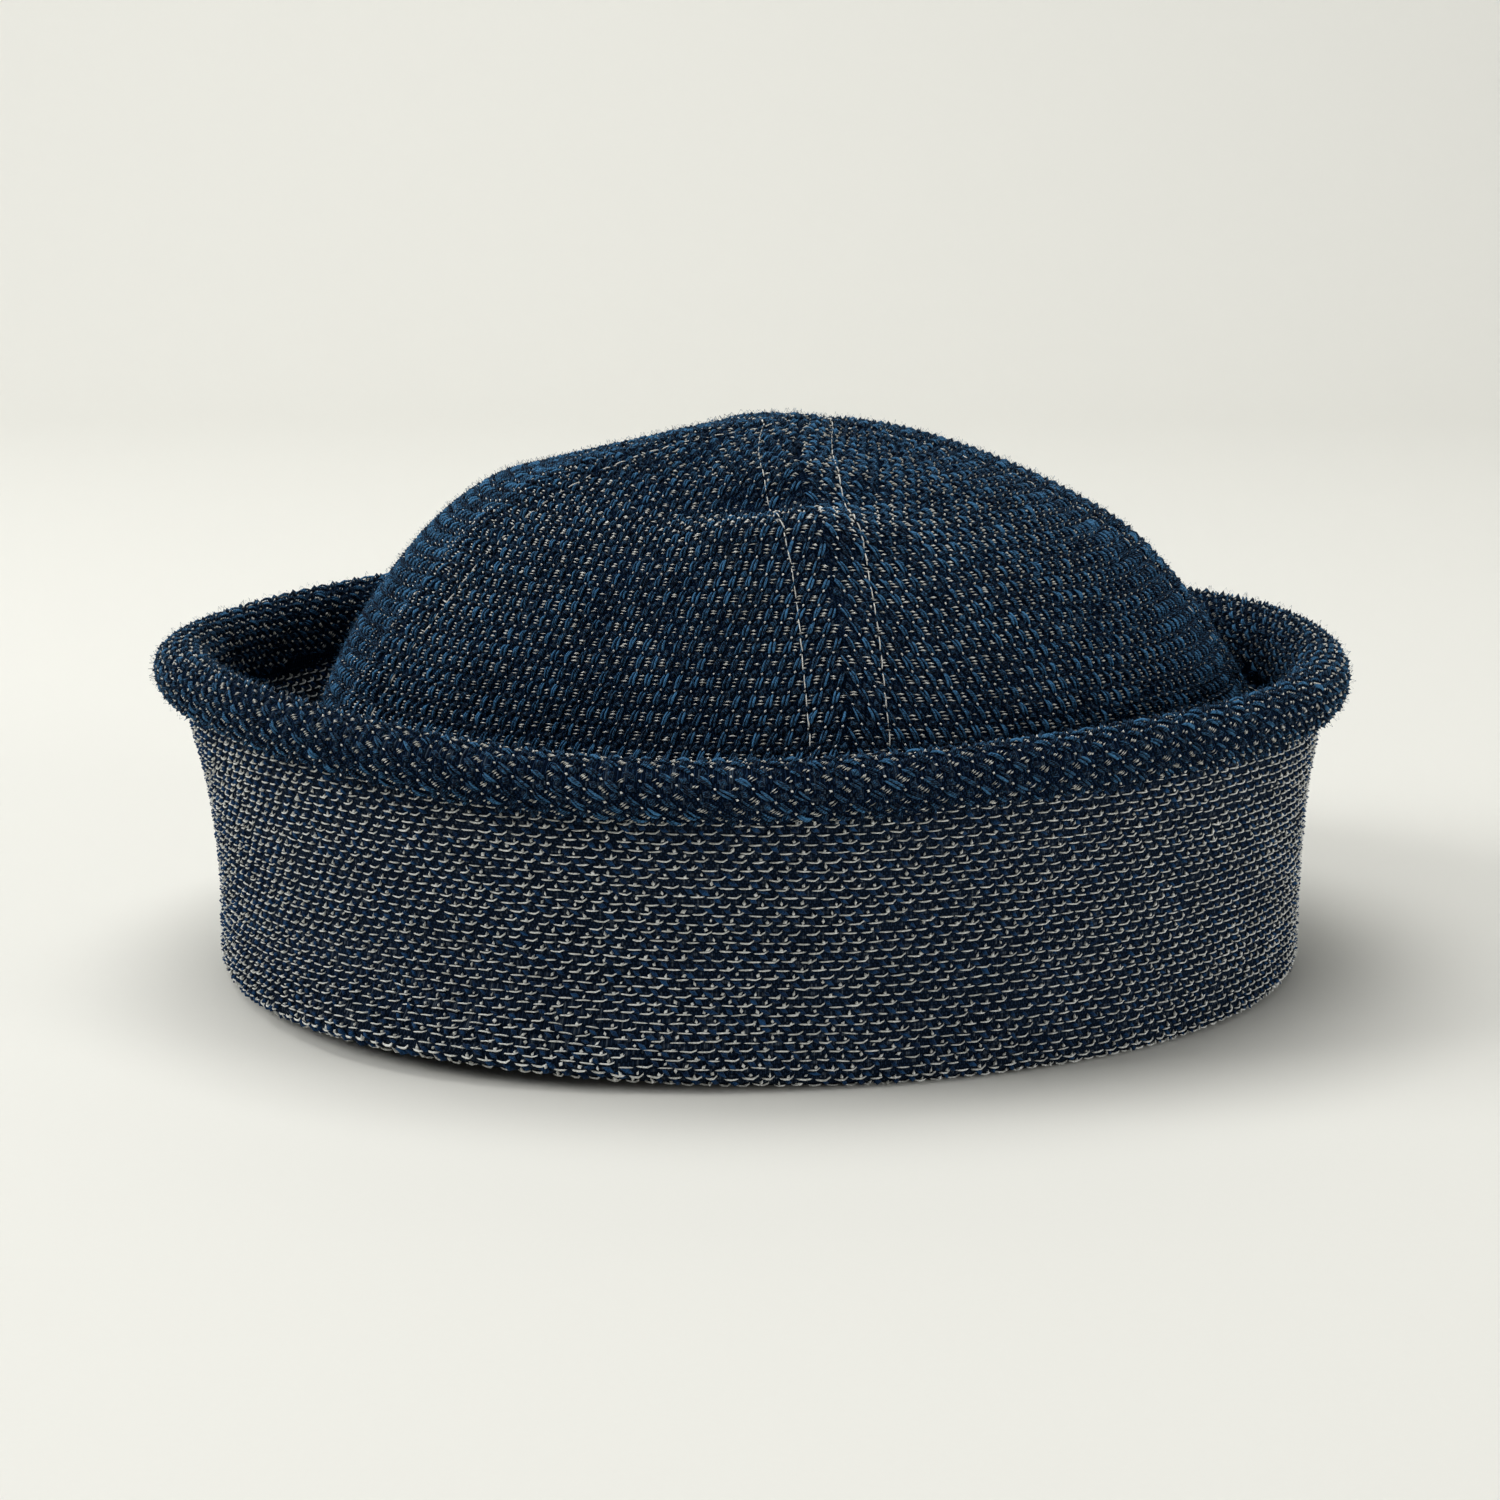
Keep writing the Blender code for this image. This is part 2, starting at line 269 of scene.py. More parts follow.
class Graph:
    """A material's nodes, with short ways to add and join them."""

    def __init__(self, name: str) -> None:
        """Starts a material of this name with one plain shader."""
        self.material = bpy.data.materials.new(name)
        self.material.use_nodes = True
        self.tree = self.material.node_tree
        self.shader = self.tree.nodes["Principled BSDF"]

    def node(
        self, kind: str, inputs: dict[str | int, object] | None = None, **settings: object
    ) -> bpy.types.Node:
        """Adds a node.

        Args:
            kind: the node's type, without its ShaderNode prefix.
            inputs: a value or an output socket for each named or numbered input.
            settings: the node's own properties.

        Returns:
            The new node.
        """
        made = self.tree.nodes.new("ShaderNode" + kind)
        for key, value in settings.items():
            setattr(made, key, value)
        for key, value in (inputs or {}).items():
            self.feed(made.inputs[key], value)
        return made

    def feed(self, socket: bpy.types.NodeSocket, value: object) -> None:
        """Links an output to an input, or sets the input's own value."""
        if isinstance(value, bpy.types.NodeSocket):
            self.tree.links.new(value, socket)
        else:
            socket.default_value = value

    def math(
        self, operation: str, first: object, second: object = 0.0, third: object = 0.0
    ) -> bpy.types.NodeSocket:
        """The result of one sum on numbers or sockets."""
        made = self.node("Math", {0: first, 1: second}, operation=operation)
        if operation == "MULTIPLY_ADD":
            self.feed(made.inputs[2], third)
        return made.outputs[0]

    def blend(self, share: object, first: object, second: object, way: str = "MIX") -> bpy.types.NodeSocket:
        """A colour between two, or one laid on the other in the named way."""
        made = self.node("Mix", data_type="RGBA", blend_type=way)
        for key, value in ((0, share), (6, first), (7, second)):
            self.feed(made.inputs[key], value)
        return made.outputs[2]

    def noise(self, scale: float, detail: float) -> bpy.types.NodeSocket:
        """A soft grey noise that stays with the object."""
        spot = self.node("TexCoord").outputs["Object"]
        return self.node("TexNoise", {"Vector": spot, "Scale": scale, "Detail": detail}).outputs[0]

    def colour(self, value: object) -> None:
        """Gives the shader this colour."""
        self.feed(self.shader.inputs["Base Color"], value)

    def roughness(self, share: object, change: float, least: float) -> None:
        """Gives the shader this roughness, with its change over the share."""
        self.feed(self.shader.inputs["Roughness"], self.math("MULTIPLY_ADD", share, change, least))

    def bump(self, height: object, strength: float, distance: float) -> None:
        """Gives the shader this relief."""
        made = self.node("Bump", {"Height": height, "Strength": strength, "Distance": distance})
        self.feed(self.shader.inputs["Normal"], made.outputs[0])

    def matt(self, shine: float, sheen: float, tint: Colour) -> None:
        """Sets the shader's own plain values for soft cotton."""
        for key, value in (
            ("Specular IOR Level", shine),
            ("Sheen Weight", sheen),
            ("Sheen Roughness", 0.35),
            ("Sheen Tint", (*tint, 1.0)),
        ):
            self.shader.inputs[key].default_value = value


@dataclass(frozen=True)
class GroundFinish:
    """The plain-woven ground between the yarns that float over it."""

    name: str
    warp: Colour
    weft: Colour
    speck: Colour
    speck_share: float
    pitch: tuple[float, float] = (0.00034, 0.00062)
    sheen: float = 0.0

    def make(self) -> bpy.types.Material:
        """The ground's material, which reads the cloth map in metres."""
        graph = Graph(self.name)
        where = graph.node("SeparateXYZ", {0: graph.node("UVMap", uv_map=CLOTH_MAP).outputs[0]})
        sides, cells, bulges = [], [], []
        for axis in (0, 1):
            count = graph.math("DIVIDE", where.outputs[axis], self.pitch[axis])
            sides.append(count)
            cells.append(graph.math("FLOOR", count))
            bulges.append(graph.math("SINE", graph.math("MULTIPLY", graph.math("FRACT", count), math.pi)))
        over = graph.math("FLOORED_MODULO", graph.math("ADD", cells[0], cells[1]), 2.0)
        warp_side = graph.math("MULTIPLY", bulges[0], graph.math("MULTIPLY_ADD", bulges[1], 0.5, 0.5))
        weft_side = graph.math("MULTIPLY", bulges[1], graph.math("MULTIPLY_ADD", bulges[0], 0.5, 0.5))
        relief = graph.node("Mix", {0: over, 2: warp_side, 3: weft_side}).outputs[0]
        cell = graph.node("CombineXYZ", {0: cells[0], 1: cells[1]}).outputs[0]
        chance = graph.node("TexWhiteNoise", {0: cell}, noise_dimensions="3D").outputs[0]
        colour = graph.blend(over, (*self.warp, 1.0), (*self.weft, 1.0))
        picked = graph.math("GREATER_THAN", chance, 1.0 - self.speck_share)
        colour = graph.blend(graph.math("MULTIPLY", picked, 0.85), colour, (*self.speck, 1.0))
        cloudy = graph.noise(160.0, 3.0)
        # Painted shade: the colour is darkened in the dips of the weave, and varied with a soft cloudy tone.
        depth = graph.math("MULTIPLY_ADD", relief, 0.75, 0.25)
        depth = graph.math("MULTIPLY", depth, graph.math("MULTIPLY_ADD", cloudy, 0.8, 0.6))
        grey = graph.node("CombineColor", {0: depth, 1: depth, 2: depth}).outputs[0]
        graph.colour(graph.blend(1.0, colour, grey, "MULTIPLY"))
        graph.roughness(relief, -0.12, 0.95)
        graph.bump(relief, 0.8, 0.0003)
        graph.matt(0.0, self.sheen, (0.35, 0.45, 0.62))
        return graph.material


@dataclass(frozen=True)
class YarnFinish:
    """A spun cotton yarn, from its darkest fibres to its lightest."""

    name: str
    dark: Colour
    light: Colour
    turns: float = 3.0
    twist: float = 0.25
    mottle: float = 2.2
    sheen: float = 0.12
    sheen_tint: Colour = (0.4, 0.6, 0.85)

    def make(self) -> bpy.types.Material:
        """The yarn's material, which reads the yarn map and each yarn's own shade."""
        graph = Graph(self.name)
        where = graph.node("SeparateXYZ", {0: graph.node("UVMap", uv_map=YARN_MAP).outputs[0]})
        spin = graph.math("MULTIPLY_ADD", where.outputs[0], self.turns, where.outputs[1])
        strands = graph.math("SINE", graph.math("MULTIPLY", spin, 4 * math.pi))
        fibres = graph.noise(1900.0, 2.0)
        shade = graph.node("Attribute", attribute_name=SHADE).outputs["Fac"]
        # The twist stripes are the plies' pattern; their dark bands also paint the shade in the grooves
        # between plies, beside the bump.
        share = graph.math("MULTIPLY_ADD", strands, self.twist, shade)
        share = graph.math("MULTIPLY_ADD", graph.math("SUBTRACT", fibres, 0.5), self.mottle, share)
        held = graph.node("MapRange", {0: share}).outputs[0]
        graph.colour(graph.blend(held, (*self.dark, 1.0), (*self.light, 1.0)))
        relief = graph.math("MULTIPLY_ADD", strands, 0.5, graph.math("MULTIPLY", fibres, 0.8))
        graph.roughness(fibres, 0.2, 0.72)
        graph.bump(relief, 0.45, 0.00012)
        graph.matt(0.1, self.sheen, self.sheen_tint)
        return graph.material


FACE_GROUND = GroundFinish(
    "face_ground", warp=(0.0110, 0.0260, 0.0600), weft=(0.0035, 0.0085, 0.0210),
    speck=(0.050, 0.075, 0.110), speck_share=0.10,
)
REVERSE_GROUND = GroundFinish(
    "reverse_ground", warp=(0.0160, 0.0290, 0.0560), weft=(0.0070, 0.0140, 0.0300),
    speck=(0.070, 0.090, 0.120), speck_share=0.14, sheen=0.05,
)
BLUE_YARN = YarnFinish("blue_yarn", dark=(0.0010, 0.0038, 0.0125), light=(0.0580, 0.1900, 0.3700), sheen=0.12)
DULL_BLUE_YARN = YarnFinish("dull_blue_yarn", dark=(0.0030, 0.0130, 0.0420), light=(0.0160, 0.0700, 0.1800))
CREAM_YARN = YarnFinish(
    "cream_yarn", dark=(0.40, 0.40, 0.36), light=(0.95, 0.95, 0.90), twist=0.1, mottle=1.6, sheen=0.2,
    sheen_tint=(0.9, 0.95, 1.0),
)
REVERSE_CREAM_YARN = YarnFinish(
    "reverse_cream_yarn", dark=(0.52, 0.53, 0.50), light=(0.92, 0.93, 0.90), twist=0.15, sheen=0.3,
    sheen_tint=(0.9, 0.9, 0.9),
)
STITCH_THREAD = YarnFinish(
    "stitch_thread", dark=(0.42, 0.42, 0.39), light=(0.86, 0.85, 0.80), turns=4.0, twist=0.2, sheen=0.05,
    sheen_tint=(1.0, 1.0, 1.0),
)


@dataclass
class Wardrobe:
    """Every finish, made once and handed to the pieces that wear it."""

    made: dict[str, bpy.types.Material] = field(default_factory=dict)

    def of(self, finish: GroundFinish | YarnFinish) -> bpy.types.Material:
        """The finish's material."""
        if finish.name not in self.made:
            self.made[finish.name] = finish.make()
        return self.made[finish.name]


@dataclass(frozen=True)
class YarnShape:
    """One modelled stretch of yarn, as arrays that copies are made from."""

    points: Array
    triangles: Array
    yarn_map: Array


@dataclass(frozen=True)
class Strand:
    """A short stretch of yarn that comes up out of the cloth, runs over it and goes down again."""

    length: float
    width: float
    height: float
    rings: int = 3
    sink: float = 0.35
    reach: float = 0.66
    curl: float = 0.0

    def model(self) -> YarnShape:
        """Models the stretch once, along +Y with its back up.

        Returns:
            Its points, its triangles and where each corner lies along and round the yarn.
        """
        strand = self.spindle() if self.rings == 1 else self.rod()
        for ring in range(1, self.rings - 1):
            with editing():
                cut = 2.0 * ring / (self.rings - 1) - 1.0
                bpy.ops.mesh.bisect(plane_co=(0.0, cut, 0.0), plane_no=(0.0, 1.0, 0.0))
        with editing():
            bpy.ops.mesh.quads_convert_to_tris()
            bpy.ops.mesh.normals_make_consistent(inside=False)
        mesh = strand.data
        raw = points_of(mesh)
        mesh.calc_loop_triangles()
        triangles = np.empty(len(mesh.loop_triangles) * 3, int)
        mesh.loop_triangles.foreach_get("vertices", triangles)
        triangles = triangles.reshape(-1, 3)
        bpy.data.objects.remove(strand)
        bpy.data.meshes.remove(mesh)
        return YarnShape(self.bowed(raw), triangles, self.mapped(raw, triangles))

    @staticmethod
    def rod() -> bpy.types.Object:
        """A three-sided rod along Y from -1 to 1, with a point in the middle of each end."""
        deselect_all()
        bpy.ops.mesh.primitive_cylinder_add(
            vertices=3, radius=1.0, depth=2.0, end_fill_type="TRIFAN", rotation=(math.pi / 2, 0.0, 0.0)
        )
        bpy.ops.object.transform_apply(rotation=True)
        return bpy.context.object

    @staticmethod
    def spindle() -> bpy.types.Object:
        """A three-sided spindle along Y, widest half way: the form of a stitch too small to need more."""
        deselect_all()
        bpy.ops.mesh.primitive_cone_add(
            vertices=3, radius1=1.0, radius2=0.0, depth=1.0, end_fill_type="NOTHING",
            location=(0.0, -0.5, 0.0), rotation=(math.pi / 2, 0.0, 0.0),
        )
        bpy.ops.object.transform_apply(location=True, rotation=True)
        half = bpy.context.object
        mirror = half.modifiers.new("other_half", "MIRROR")
        mirror.use_axis = (False, True, False)
        bpy.ops.object.modifier_apply(modifier=mirror.name)
        return half

    def bowed(self, raw: Array) -> Array:
        """Bends the plain rod into a stretch of yarn with tapered, sunken ends."""
        tip = np.hypot(raw[:, 0], raw[:, 2]) < 0.1
        share = np.where(tip, raw[:, 1], raw[:, 1] * self.reach)
        taper = np.where(tip, 0.0, np.sqrt(1.0 - 0.45 * share**2)) / 2
        back = self.height * (1.0 - share**2) - self.sink * self.height
        return np.stack(
            [
                raw[:, 0] * taper * self.width + self.curl * clipped(share) ** 3,
                np.where(tip & (share * abs(self.curl) > 0.0), 0.9, share) * self.length / 2,
                raw[:, 2] * taper * self.width * 0.9 + back,
            ],
            axis=-1,
        )

    @staticmethod
    def mapped(raw: Array, triangles: Array) -> Array:
        """Where each corner of each triangle lies along and round the yarn, both from 0 to 1."""
        corners = raw[triangles]
        middle = corners.mean(axis=1)
        turn = np.arctan2(middle[:, 0], middle[:, 2]) / (2 * math.pi) % 1.0
        side = np.floor(turn * 3.0)[:, None]
        own = np.round(np.arctan2(corners[..., 0], corners[..., 2]) / (2 * math.pi) % 1.0 * 3.0) % 3
        tip = np.hypot(corners[..., 0], corners[..., 2]) < 0.1
        round_it = np.where(tip, side + 0.5, np.where(own == side, side, side + 1.0)) / 3.0
        ring = np.where(tip, corners[..., 1], corners[..., 1] * 0.66)
        return np.stack([(ring + 1.0) / 2, round_it], axis=-1)


@dataclass
class Places:
    """Where copies of a strand lie on a face of cloth, and how each one differs."""

    across: Array
    along: Array
    angle: Array
    stretch: Array
    girth: Array
    lift: Array
    shade: Array

    def __len__(self) -> int:
        """How many copies there are."""
        return len(self.across)

    def only(self, wanted: Array) -> "Places":
        """The copies that are wanted."""
        return Places(*(getattr(self, name)[wanted] for name in self.__dataclass_fields__))


Batches = list[tuple[YarnShape, Places]]


@dataclass
class Weaver:
    """Scatters and lays yarns, with one seeded source of unevenness."""

    seed: int

    def __post_init__(self) -> None:
        """Starts the seeded source."""
        self.rng = np.random.default_rng(self.seed)

    def scatter(
        self, spots: Array, heading: Array | tuple[float, float], lift: float = 0.0, shade: float = 0.5,
        stray: float = 0.00008, sway: float = 4.0, vary: float = 0.10,
    ) -> Places:
        """Puts one copy at each spot, each a little out of true.

        Args:
            spots: rows of across and along.
            heading: the direction that the copies run in, across and along.
            lift: how far above the cloth they lie.
            shade: their usual shade, 0 dark to 1 light.
            stray: the usual distance from the spot.
            sway: the usual turn, in degrees.
            vary: the usual change of length and girth, as a share.

        Returns:
            The places.
        """
        count = len(spots)
        normal = self.rng.normal
        clouds = ripples(spots[:, 0], spots[:, 1], 0.014, self.seed + 5)
        return Places(
            across=spots[:, 0] + normal(0.0, stray, count),
            along=spots[:, 1] + normal(0.0, stray, count),
            angle=math.atan2(-heading[0], heading[1]) + np.radians(normal(0.0, sway, count)),
            stretch=np.clip(1.0 + normal(0.0, vary, count), 0.7, 1.35),
            girth=np.clip(1.0 + normal(0.0, vary, count), 0.7, 1.35),
            lift=lift + np.abs(normal(0.0, 0.00004, count)),
            shade=clipped(shade + normal(0.0, 0.20, count) + 0.12 * clouds),
        )

    def lay(
        self, name: str, face: ClothFace, batches: Batches, material: bpy.types.Material
    ) -> bpy.types.Object:
        """Lays every copy on the cloth, all in one piece.

        Args:
            name: the piece's name.
            face: the face of cloth.
            batches: a modelled strand and its places, for each kind.
            material: the yarn's material.

        Returns:
            The piece.
        """
        points, triangles, bakes, yarns, shades = [], [], [], [], []
        side = math.ceil(math.sqrt(sum(len(places) for _, places in batches)))
        first = laid = 0
        for shape, places in batches:
            x, y, z = shape.points.T
            cos, sin = np.cos(places.angle)[:, None], np.sin(places.angle)[:, None]
            over, up = x * places.girth[:, None], y * places.stretch[:, None]
            spot = face.lifted(
                places.across[:, None] + over * cos - up * sin,
                places.along[:, None] + over * sin + up * cos,
                places.lift[:, None] + z * places.girth[:, None],
            )
            count = len(places)
            number = np.arange(count)
            cell = np.stack(np.divmod(laid + number, side)[::-1], axis=-1)[:, None, None, :]
            points.append(spot.reshape(-1, 3))
            starts = first + len(shape.points) * number[:, None, None]
            triangles.append((shape.triangles + starts).reshape(-1, 3))
            bakes.append(((cell + 0.06 + 0.88 * shape.yarn_map) / side).reshape(-1, 2))
            yarns.append(np.broadcast_to(shape.yarn_map, (count, *shape.yarn_map.shape)).reshape(-1, 2))
            shades.append(np.repeat(places.shade, len(shape.points)))
            first += count * len(shape.points)
            laid += count
        piece = mesh_piece(name, np.concatenate(points), np.concatenate(triangles), material)
        for layer, values in ((BAKE_MAP, bakes), (YARN_MAP, yarns)):
            add_map(piece.data, layer, np.concatenate(values))
        shade = piece.data.attributes.new(SHADE, "FLOAT", "POINT")
        shade.data.foreach_set("value", np.concatenate(shades).astype(np.float32))
        return piece


def mesh_piece(name: str, points: Array, triangles: Array, material: bpy.types.Material) -> bpy.types.Object:
    """Makes a smooth piece from many laid copies.

    Args:
        name: the piece's name.
        points: its points.
        triangles: three point numbers a row.
        material: what it is made of.

    Returns:
        The piece, at the origin.
    """
    mesh = bpy.data.meshes.new(name)
    mesh.vertices.add(len(points))
    move_points(mesh, points)
    mesh.loops.add(triangles.size)
    mesh.loops.foreach_set("vertex_index", triangles.astype(np.int32).ravel())
    mesh.polygons.add(len(triangles))
    mesh.polygons.foreach_set("loop_start", np.arange(0, triangles.size, 3, dtype=np.int32))
    mesh.update(calc_edges=True)
    mesh.validate()
    mesh.shade_smooth()
    mesh.materials.append(material)
    piece = bpy.data.objects.new(name, mesh)
    bpy.context.scene.collection.objects.link(piece)
    return piece


def attach(piece: bpy.types.Object, slot: str, *nodes: str) -> bpy.types.Object:
    """Makes a finished piece ride on the cap, hides the CAD nodes that it stands for and logs its slot."""
    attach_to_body(piece, BODY)
    if nodes:
        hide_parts(*nodes)
    LOG.info("%s: %d faces, slot %s", piece.name, len(piece.data.polygons), slot)
    return piece


def grid_spots(across: Array, along: Array) -> Array:
    """Rows of across and along for every pair of the two."""
    return np.stack([side.ravel() for side in np.meshgrid(across, along)], axis=-1)


@dataclass(frozen=True)
class Seam:
    """The azimuth of a seam in degrees at the dome's edge, near its middle and at its top."""

    bottom: float
    middle: float
    top: float


@dataclass(frozen=True)
class Dent:
    """A soft bump of the dome, or a hollow where rise is negative."""

    azimuth: float
    level: float
    spread: float
    reach: float
    rise: float


@dataclass
class Dome:
    """The dome's outer face, as the CAD part has it, with finer seams."""

    sizes: CapSizes = CapSizes()
    height: float = 0.0943
    shift: float = 0.0070
    ridge: float = 0.0009
    ridge_width: float = 0.0068
    groove: float = 0.0003
    groove_width: float = 0.0005
    stitch_line: float = 0.0062
    stitch_dip: float = 0.00035
    dent_depth: float = 0.0030
    drawn_in: float = 0.05
    middle_level: float = 0.45
    profile: tuple[tuple[float, float, float], ...] = (
        (0.000, 1.000, 0.00), (0.130, 0.985, 0.15), (0.270, 0.955, 0.42), (0.400, 0.911, 0.66),
        (0.520, 0.862, 0.60), (0.630, 0.800, 0.52), (0.730, 0.727, 0.47), (0.810, 0.651, 0.39),
        (0.870, 0.561, 0.24), (0.920, 0.455, 0.15), (0.958, 0.343, 0.21), (0.985, 0.220, 0.44),
        (0.997, 0.105, 0.77), (1.000, 0.000, 0.90),
    )
    seams: tuple[Seam, ...] = (
        Seam(6.0, 7.5, 9.0), Seam(98.0, 84.0, 84.0), Seam(186.0, 188.0, 188.0), Seam(280.0, 300.5, 300.0),
    )
    dents: tuple[Dent, ...] = (
        Dent(-82.0, 0.74, 17.0, 0.10, 0.30), Dent(-100.0, 0.86, 30.0, 0.09, -1.40),
        Dent(-20.0, 0.70, 9.0, 0.15, -0.50), Dent(-3.0, 0.60, 9.0, 0.08, 0.30),
        Dent(8.0, 0.67, 8.0, 0.05, 0.30), Dent(8.0, 0.55, 7.0, 0.05, -0.40),
        Dent(45.0, 0.73, 24.0, 0.08, 0.40), Dent(92.0, 0.66, 18.0, 0.12, -0.10),
        Dent(-2.0, 0.640, 22.0, 0.040, 0.55), Dent(2.0, 0.715, 24.0, 0.030, -0.62),
        Dent(4.0, 0.790, 26.0, 0.045, 0.30), Dent(-95.0, 0.875, 26.0, 0.045, -0.42),
    )

    def __post_init__(self) -> None:
        """Measures the profile once, from its bottom edge to its top."""
        self.rows = np.array(self.profile)
        self.levels = np.linspace(0.0, self.top_level, 800)
        height, radius, _ = self.shares(self.levels)
        self.lengths = travelled(height * self.span, radius * self.sizes.crown_radius)

    @property
    def span(self) -> float:
        """The height from the dome's bottom edge to its top."""
        return self.height - self.sizes.crown_bottom

    @property
    def top_level(self) -> float:
        """The level of the dome's very top, where 1 is the table's last ring."""
        return (len(self.profile) - 1) / (len(self.profile) - 2)

    def shares(self, level: Array) -> tuple[Array, Array, Array]:
        """The profile's height, radius and shift at each level."""
        rows = smooth_rows(self.rows, np.asarray(level) * (len(self.profile) - 2))
        return tuple(np.moveaxis(rows, -1, 0))

    def radius(self, level: Array) -> Array:
        """The plain radius at each level."""
        return self.sizes.crown_radius * self.shares(level)[1]

    def seam(self, index: int, level: Array) -> Array:
        """A seam's azimuth in degrees. Index 4 is the first seam after a whole turn."""
        turn, number = divmod(index, len(self.seams))
        row = self.seams[number]
        level = clipped(level)
        straight = row.bottom + (row.top - row.bottom) * level
        bow = row.middle - row.bottom - (row.top - row.bottom) * self.middle_level
        fullness = level * (1.0 - level) / (self.middle_level * (1.0 - self.middle_level))
        return straight + bow * fullness + 360.0 * turn

    def relief(self, azimuth: Array, level: Array, radius: Array) -> Array:
        """How far the face stands out of its plain profile.

        Args:
            azimuth: azimuths in degrees.
            level: levels of the dome.
            radius: the plain radius there.

        Returns:
            Distances in metres, less than 0 in a hollow.
        """
        rise = np.zeros(np.broadcast(azimuth, level).shape)
        near = clipped(level * 4.0)
        top = clipped((self.top_level - level) * 12.0)
        for index in range(len(self.seams)):
            away = np.abs(np.radians(angle_between(azimuth, self.seam(index, level))) * radius)
            strip = self.ridge / (1.0 + np.exp((away - self.ridge_width) / 0.0009))
            strip -= self.groove * bell(away / self.groove_width)
            strip -= self.stitch_dip * bell((away - self.stitch_line) / 0.0008)
            rise += strip * near * top
        for dent in self.dents:
            across = angle_between(azimuth, dent.azimuth) / dent.spread
            rise += self.dent_depth * dent.rise * bell(across) * bell((level - dent.level) / dent.reach)
        return rise

    def point(self, azimuth: Array, level: Array) -> Array:
        """Points of the outer face, from azimuths in degrees and levels."""
        height, radius, shift = self.shares(level)
        radius = radius * self.sizes.crown_radius
        below, above = self.shares(level - 0.01), self.shares(level + 0.01)
        out = (above[0] - below[0]) * self.span
        up = (below[1] - above[1]) * self.sizes.crown_radius
        scale = self.relief(azimuth, level, radius) / np.maximum(np.hypot(out, up), 1e-9)
        return place(
            np.radians(azimuth),
            np.maximum(radius + out * scale, 0.0),
            self.sizes.crown_bottom + self.span * height + up * scale,
            self.sizes.brim_lean + self.shift * shift,
        )


@dataclass
class Gore(ClothFace):
    """The outer face of one gore. Across is from its middle, and along is from its bottom edge."""

    dome: Dome
    index: int

    def middle(self, level: Array) -> Array:
        """The azimuth half way between the seams, in degrees."""
        return (self.dome.seam(self.index, level) + self.dome.seam(self.index + 1, level)) / 2

    def half_width(self, along: Array) -> Array:
        """The distance from the gore's middle to its seams."""
        level = self.level(along)
        spread = self.dome.seam(self.index + 1, level) - self.dome.seam(self.index, level)
        return np.radians(spread / 2) * self.radius(level)

    def radius(self, level: Array) -> Array:
        """The radius that distances across are measured at, with the cloth drawn in half way up."""
        drawn = np.interp(level, (0.0, 0.35, 0.62, 0.90, 1.05), (0.0, 0.25, 1.0, 0.9, 0.0))
        return self.dome.radius(level) * (1.0 + self.dome.drawn_in * drawn)

    def level(self, along: Array) -> Array:
        """The level at each distance up the gore."""
        return np.interp(along, self.dome.lengths, self.dome.levels)

    def azimuth(self, across: Array, level: Array) -> Array:
        """The azimuth in degrees at each distance from the gore's middle."""
        return self.middle(level) + np.degrees(across / np.maximum(self.radius(level), 0.0015))

    def point(self, across: Array, along: Array) -> Array:
        """Points of the gore's face."""
        level = self.level(along)
        return self.dome.point(self.azimuth(across, level), level)


class GoreName(Enum):
    """The four gores, by the seam that each one starts from."""

    FRONT_RIGHT = 0
    BACK_RIGHT = 1
    BACK_LEFT = 2
    FRONT_LEFT = 3

    @property
    def label(self) -> str:
        """The words that name this gore's pieces."""
        return self.name.lower()


@dataclass(frozen=True)
class FloatWeave:
    """The face side's repeat: a pair of blue floats, a stack of cream dashes beside it and a dot above it."""

    weft: tuple[float, float] = (0.00262, 0.0)
    warp: tuple[float, float] = (0.0, 0.00310)
    pair_gap: float = 0.00050
    dash_pitch: float = 0.00058
    stack: tuple[float, ...] = (-1.0, 0.0, 1.0)

    def spots(self, width: float, length: float) -> Array:
        """The middle of each repeat over a cloth of this width and length, centred across."""
        weft, warp = np.array(self.weft), np.array(self.warp)
        reach = int(2 * max(width, length) / min(np.hypot(*weft), np.hypot(*warp)))
        steps = grid_spots(np.arange(-reach, reach + 1), np.arange(-reach, reach + 1))
        spots = steps[:, :1] * weft + steps[:, 1:] * warp
        return spots[(np.abs(spots[:, 0]) <= width / 2) & (spots[:, 1] >= 0.0) & (spots[:, 1] <= length)]


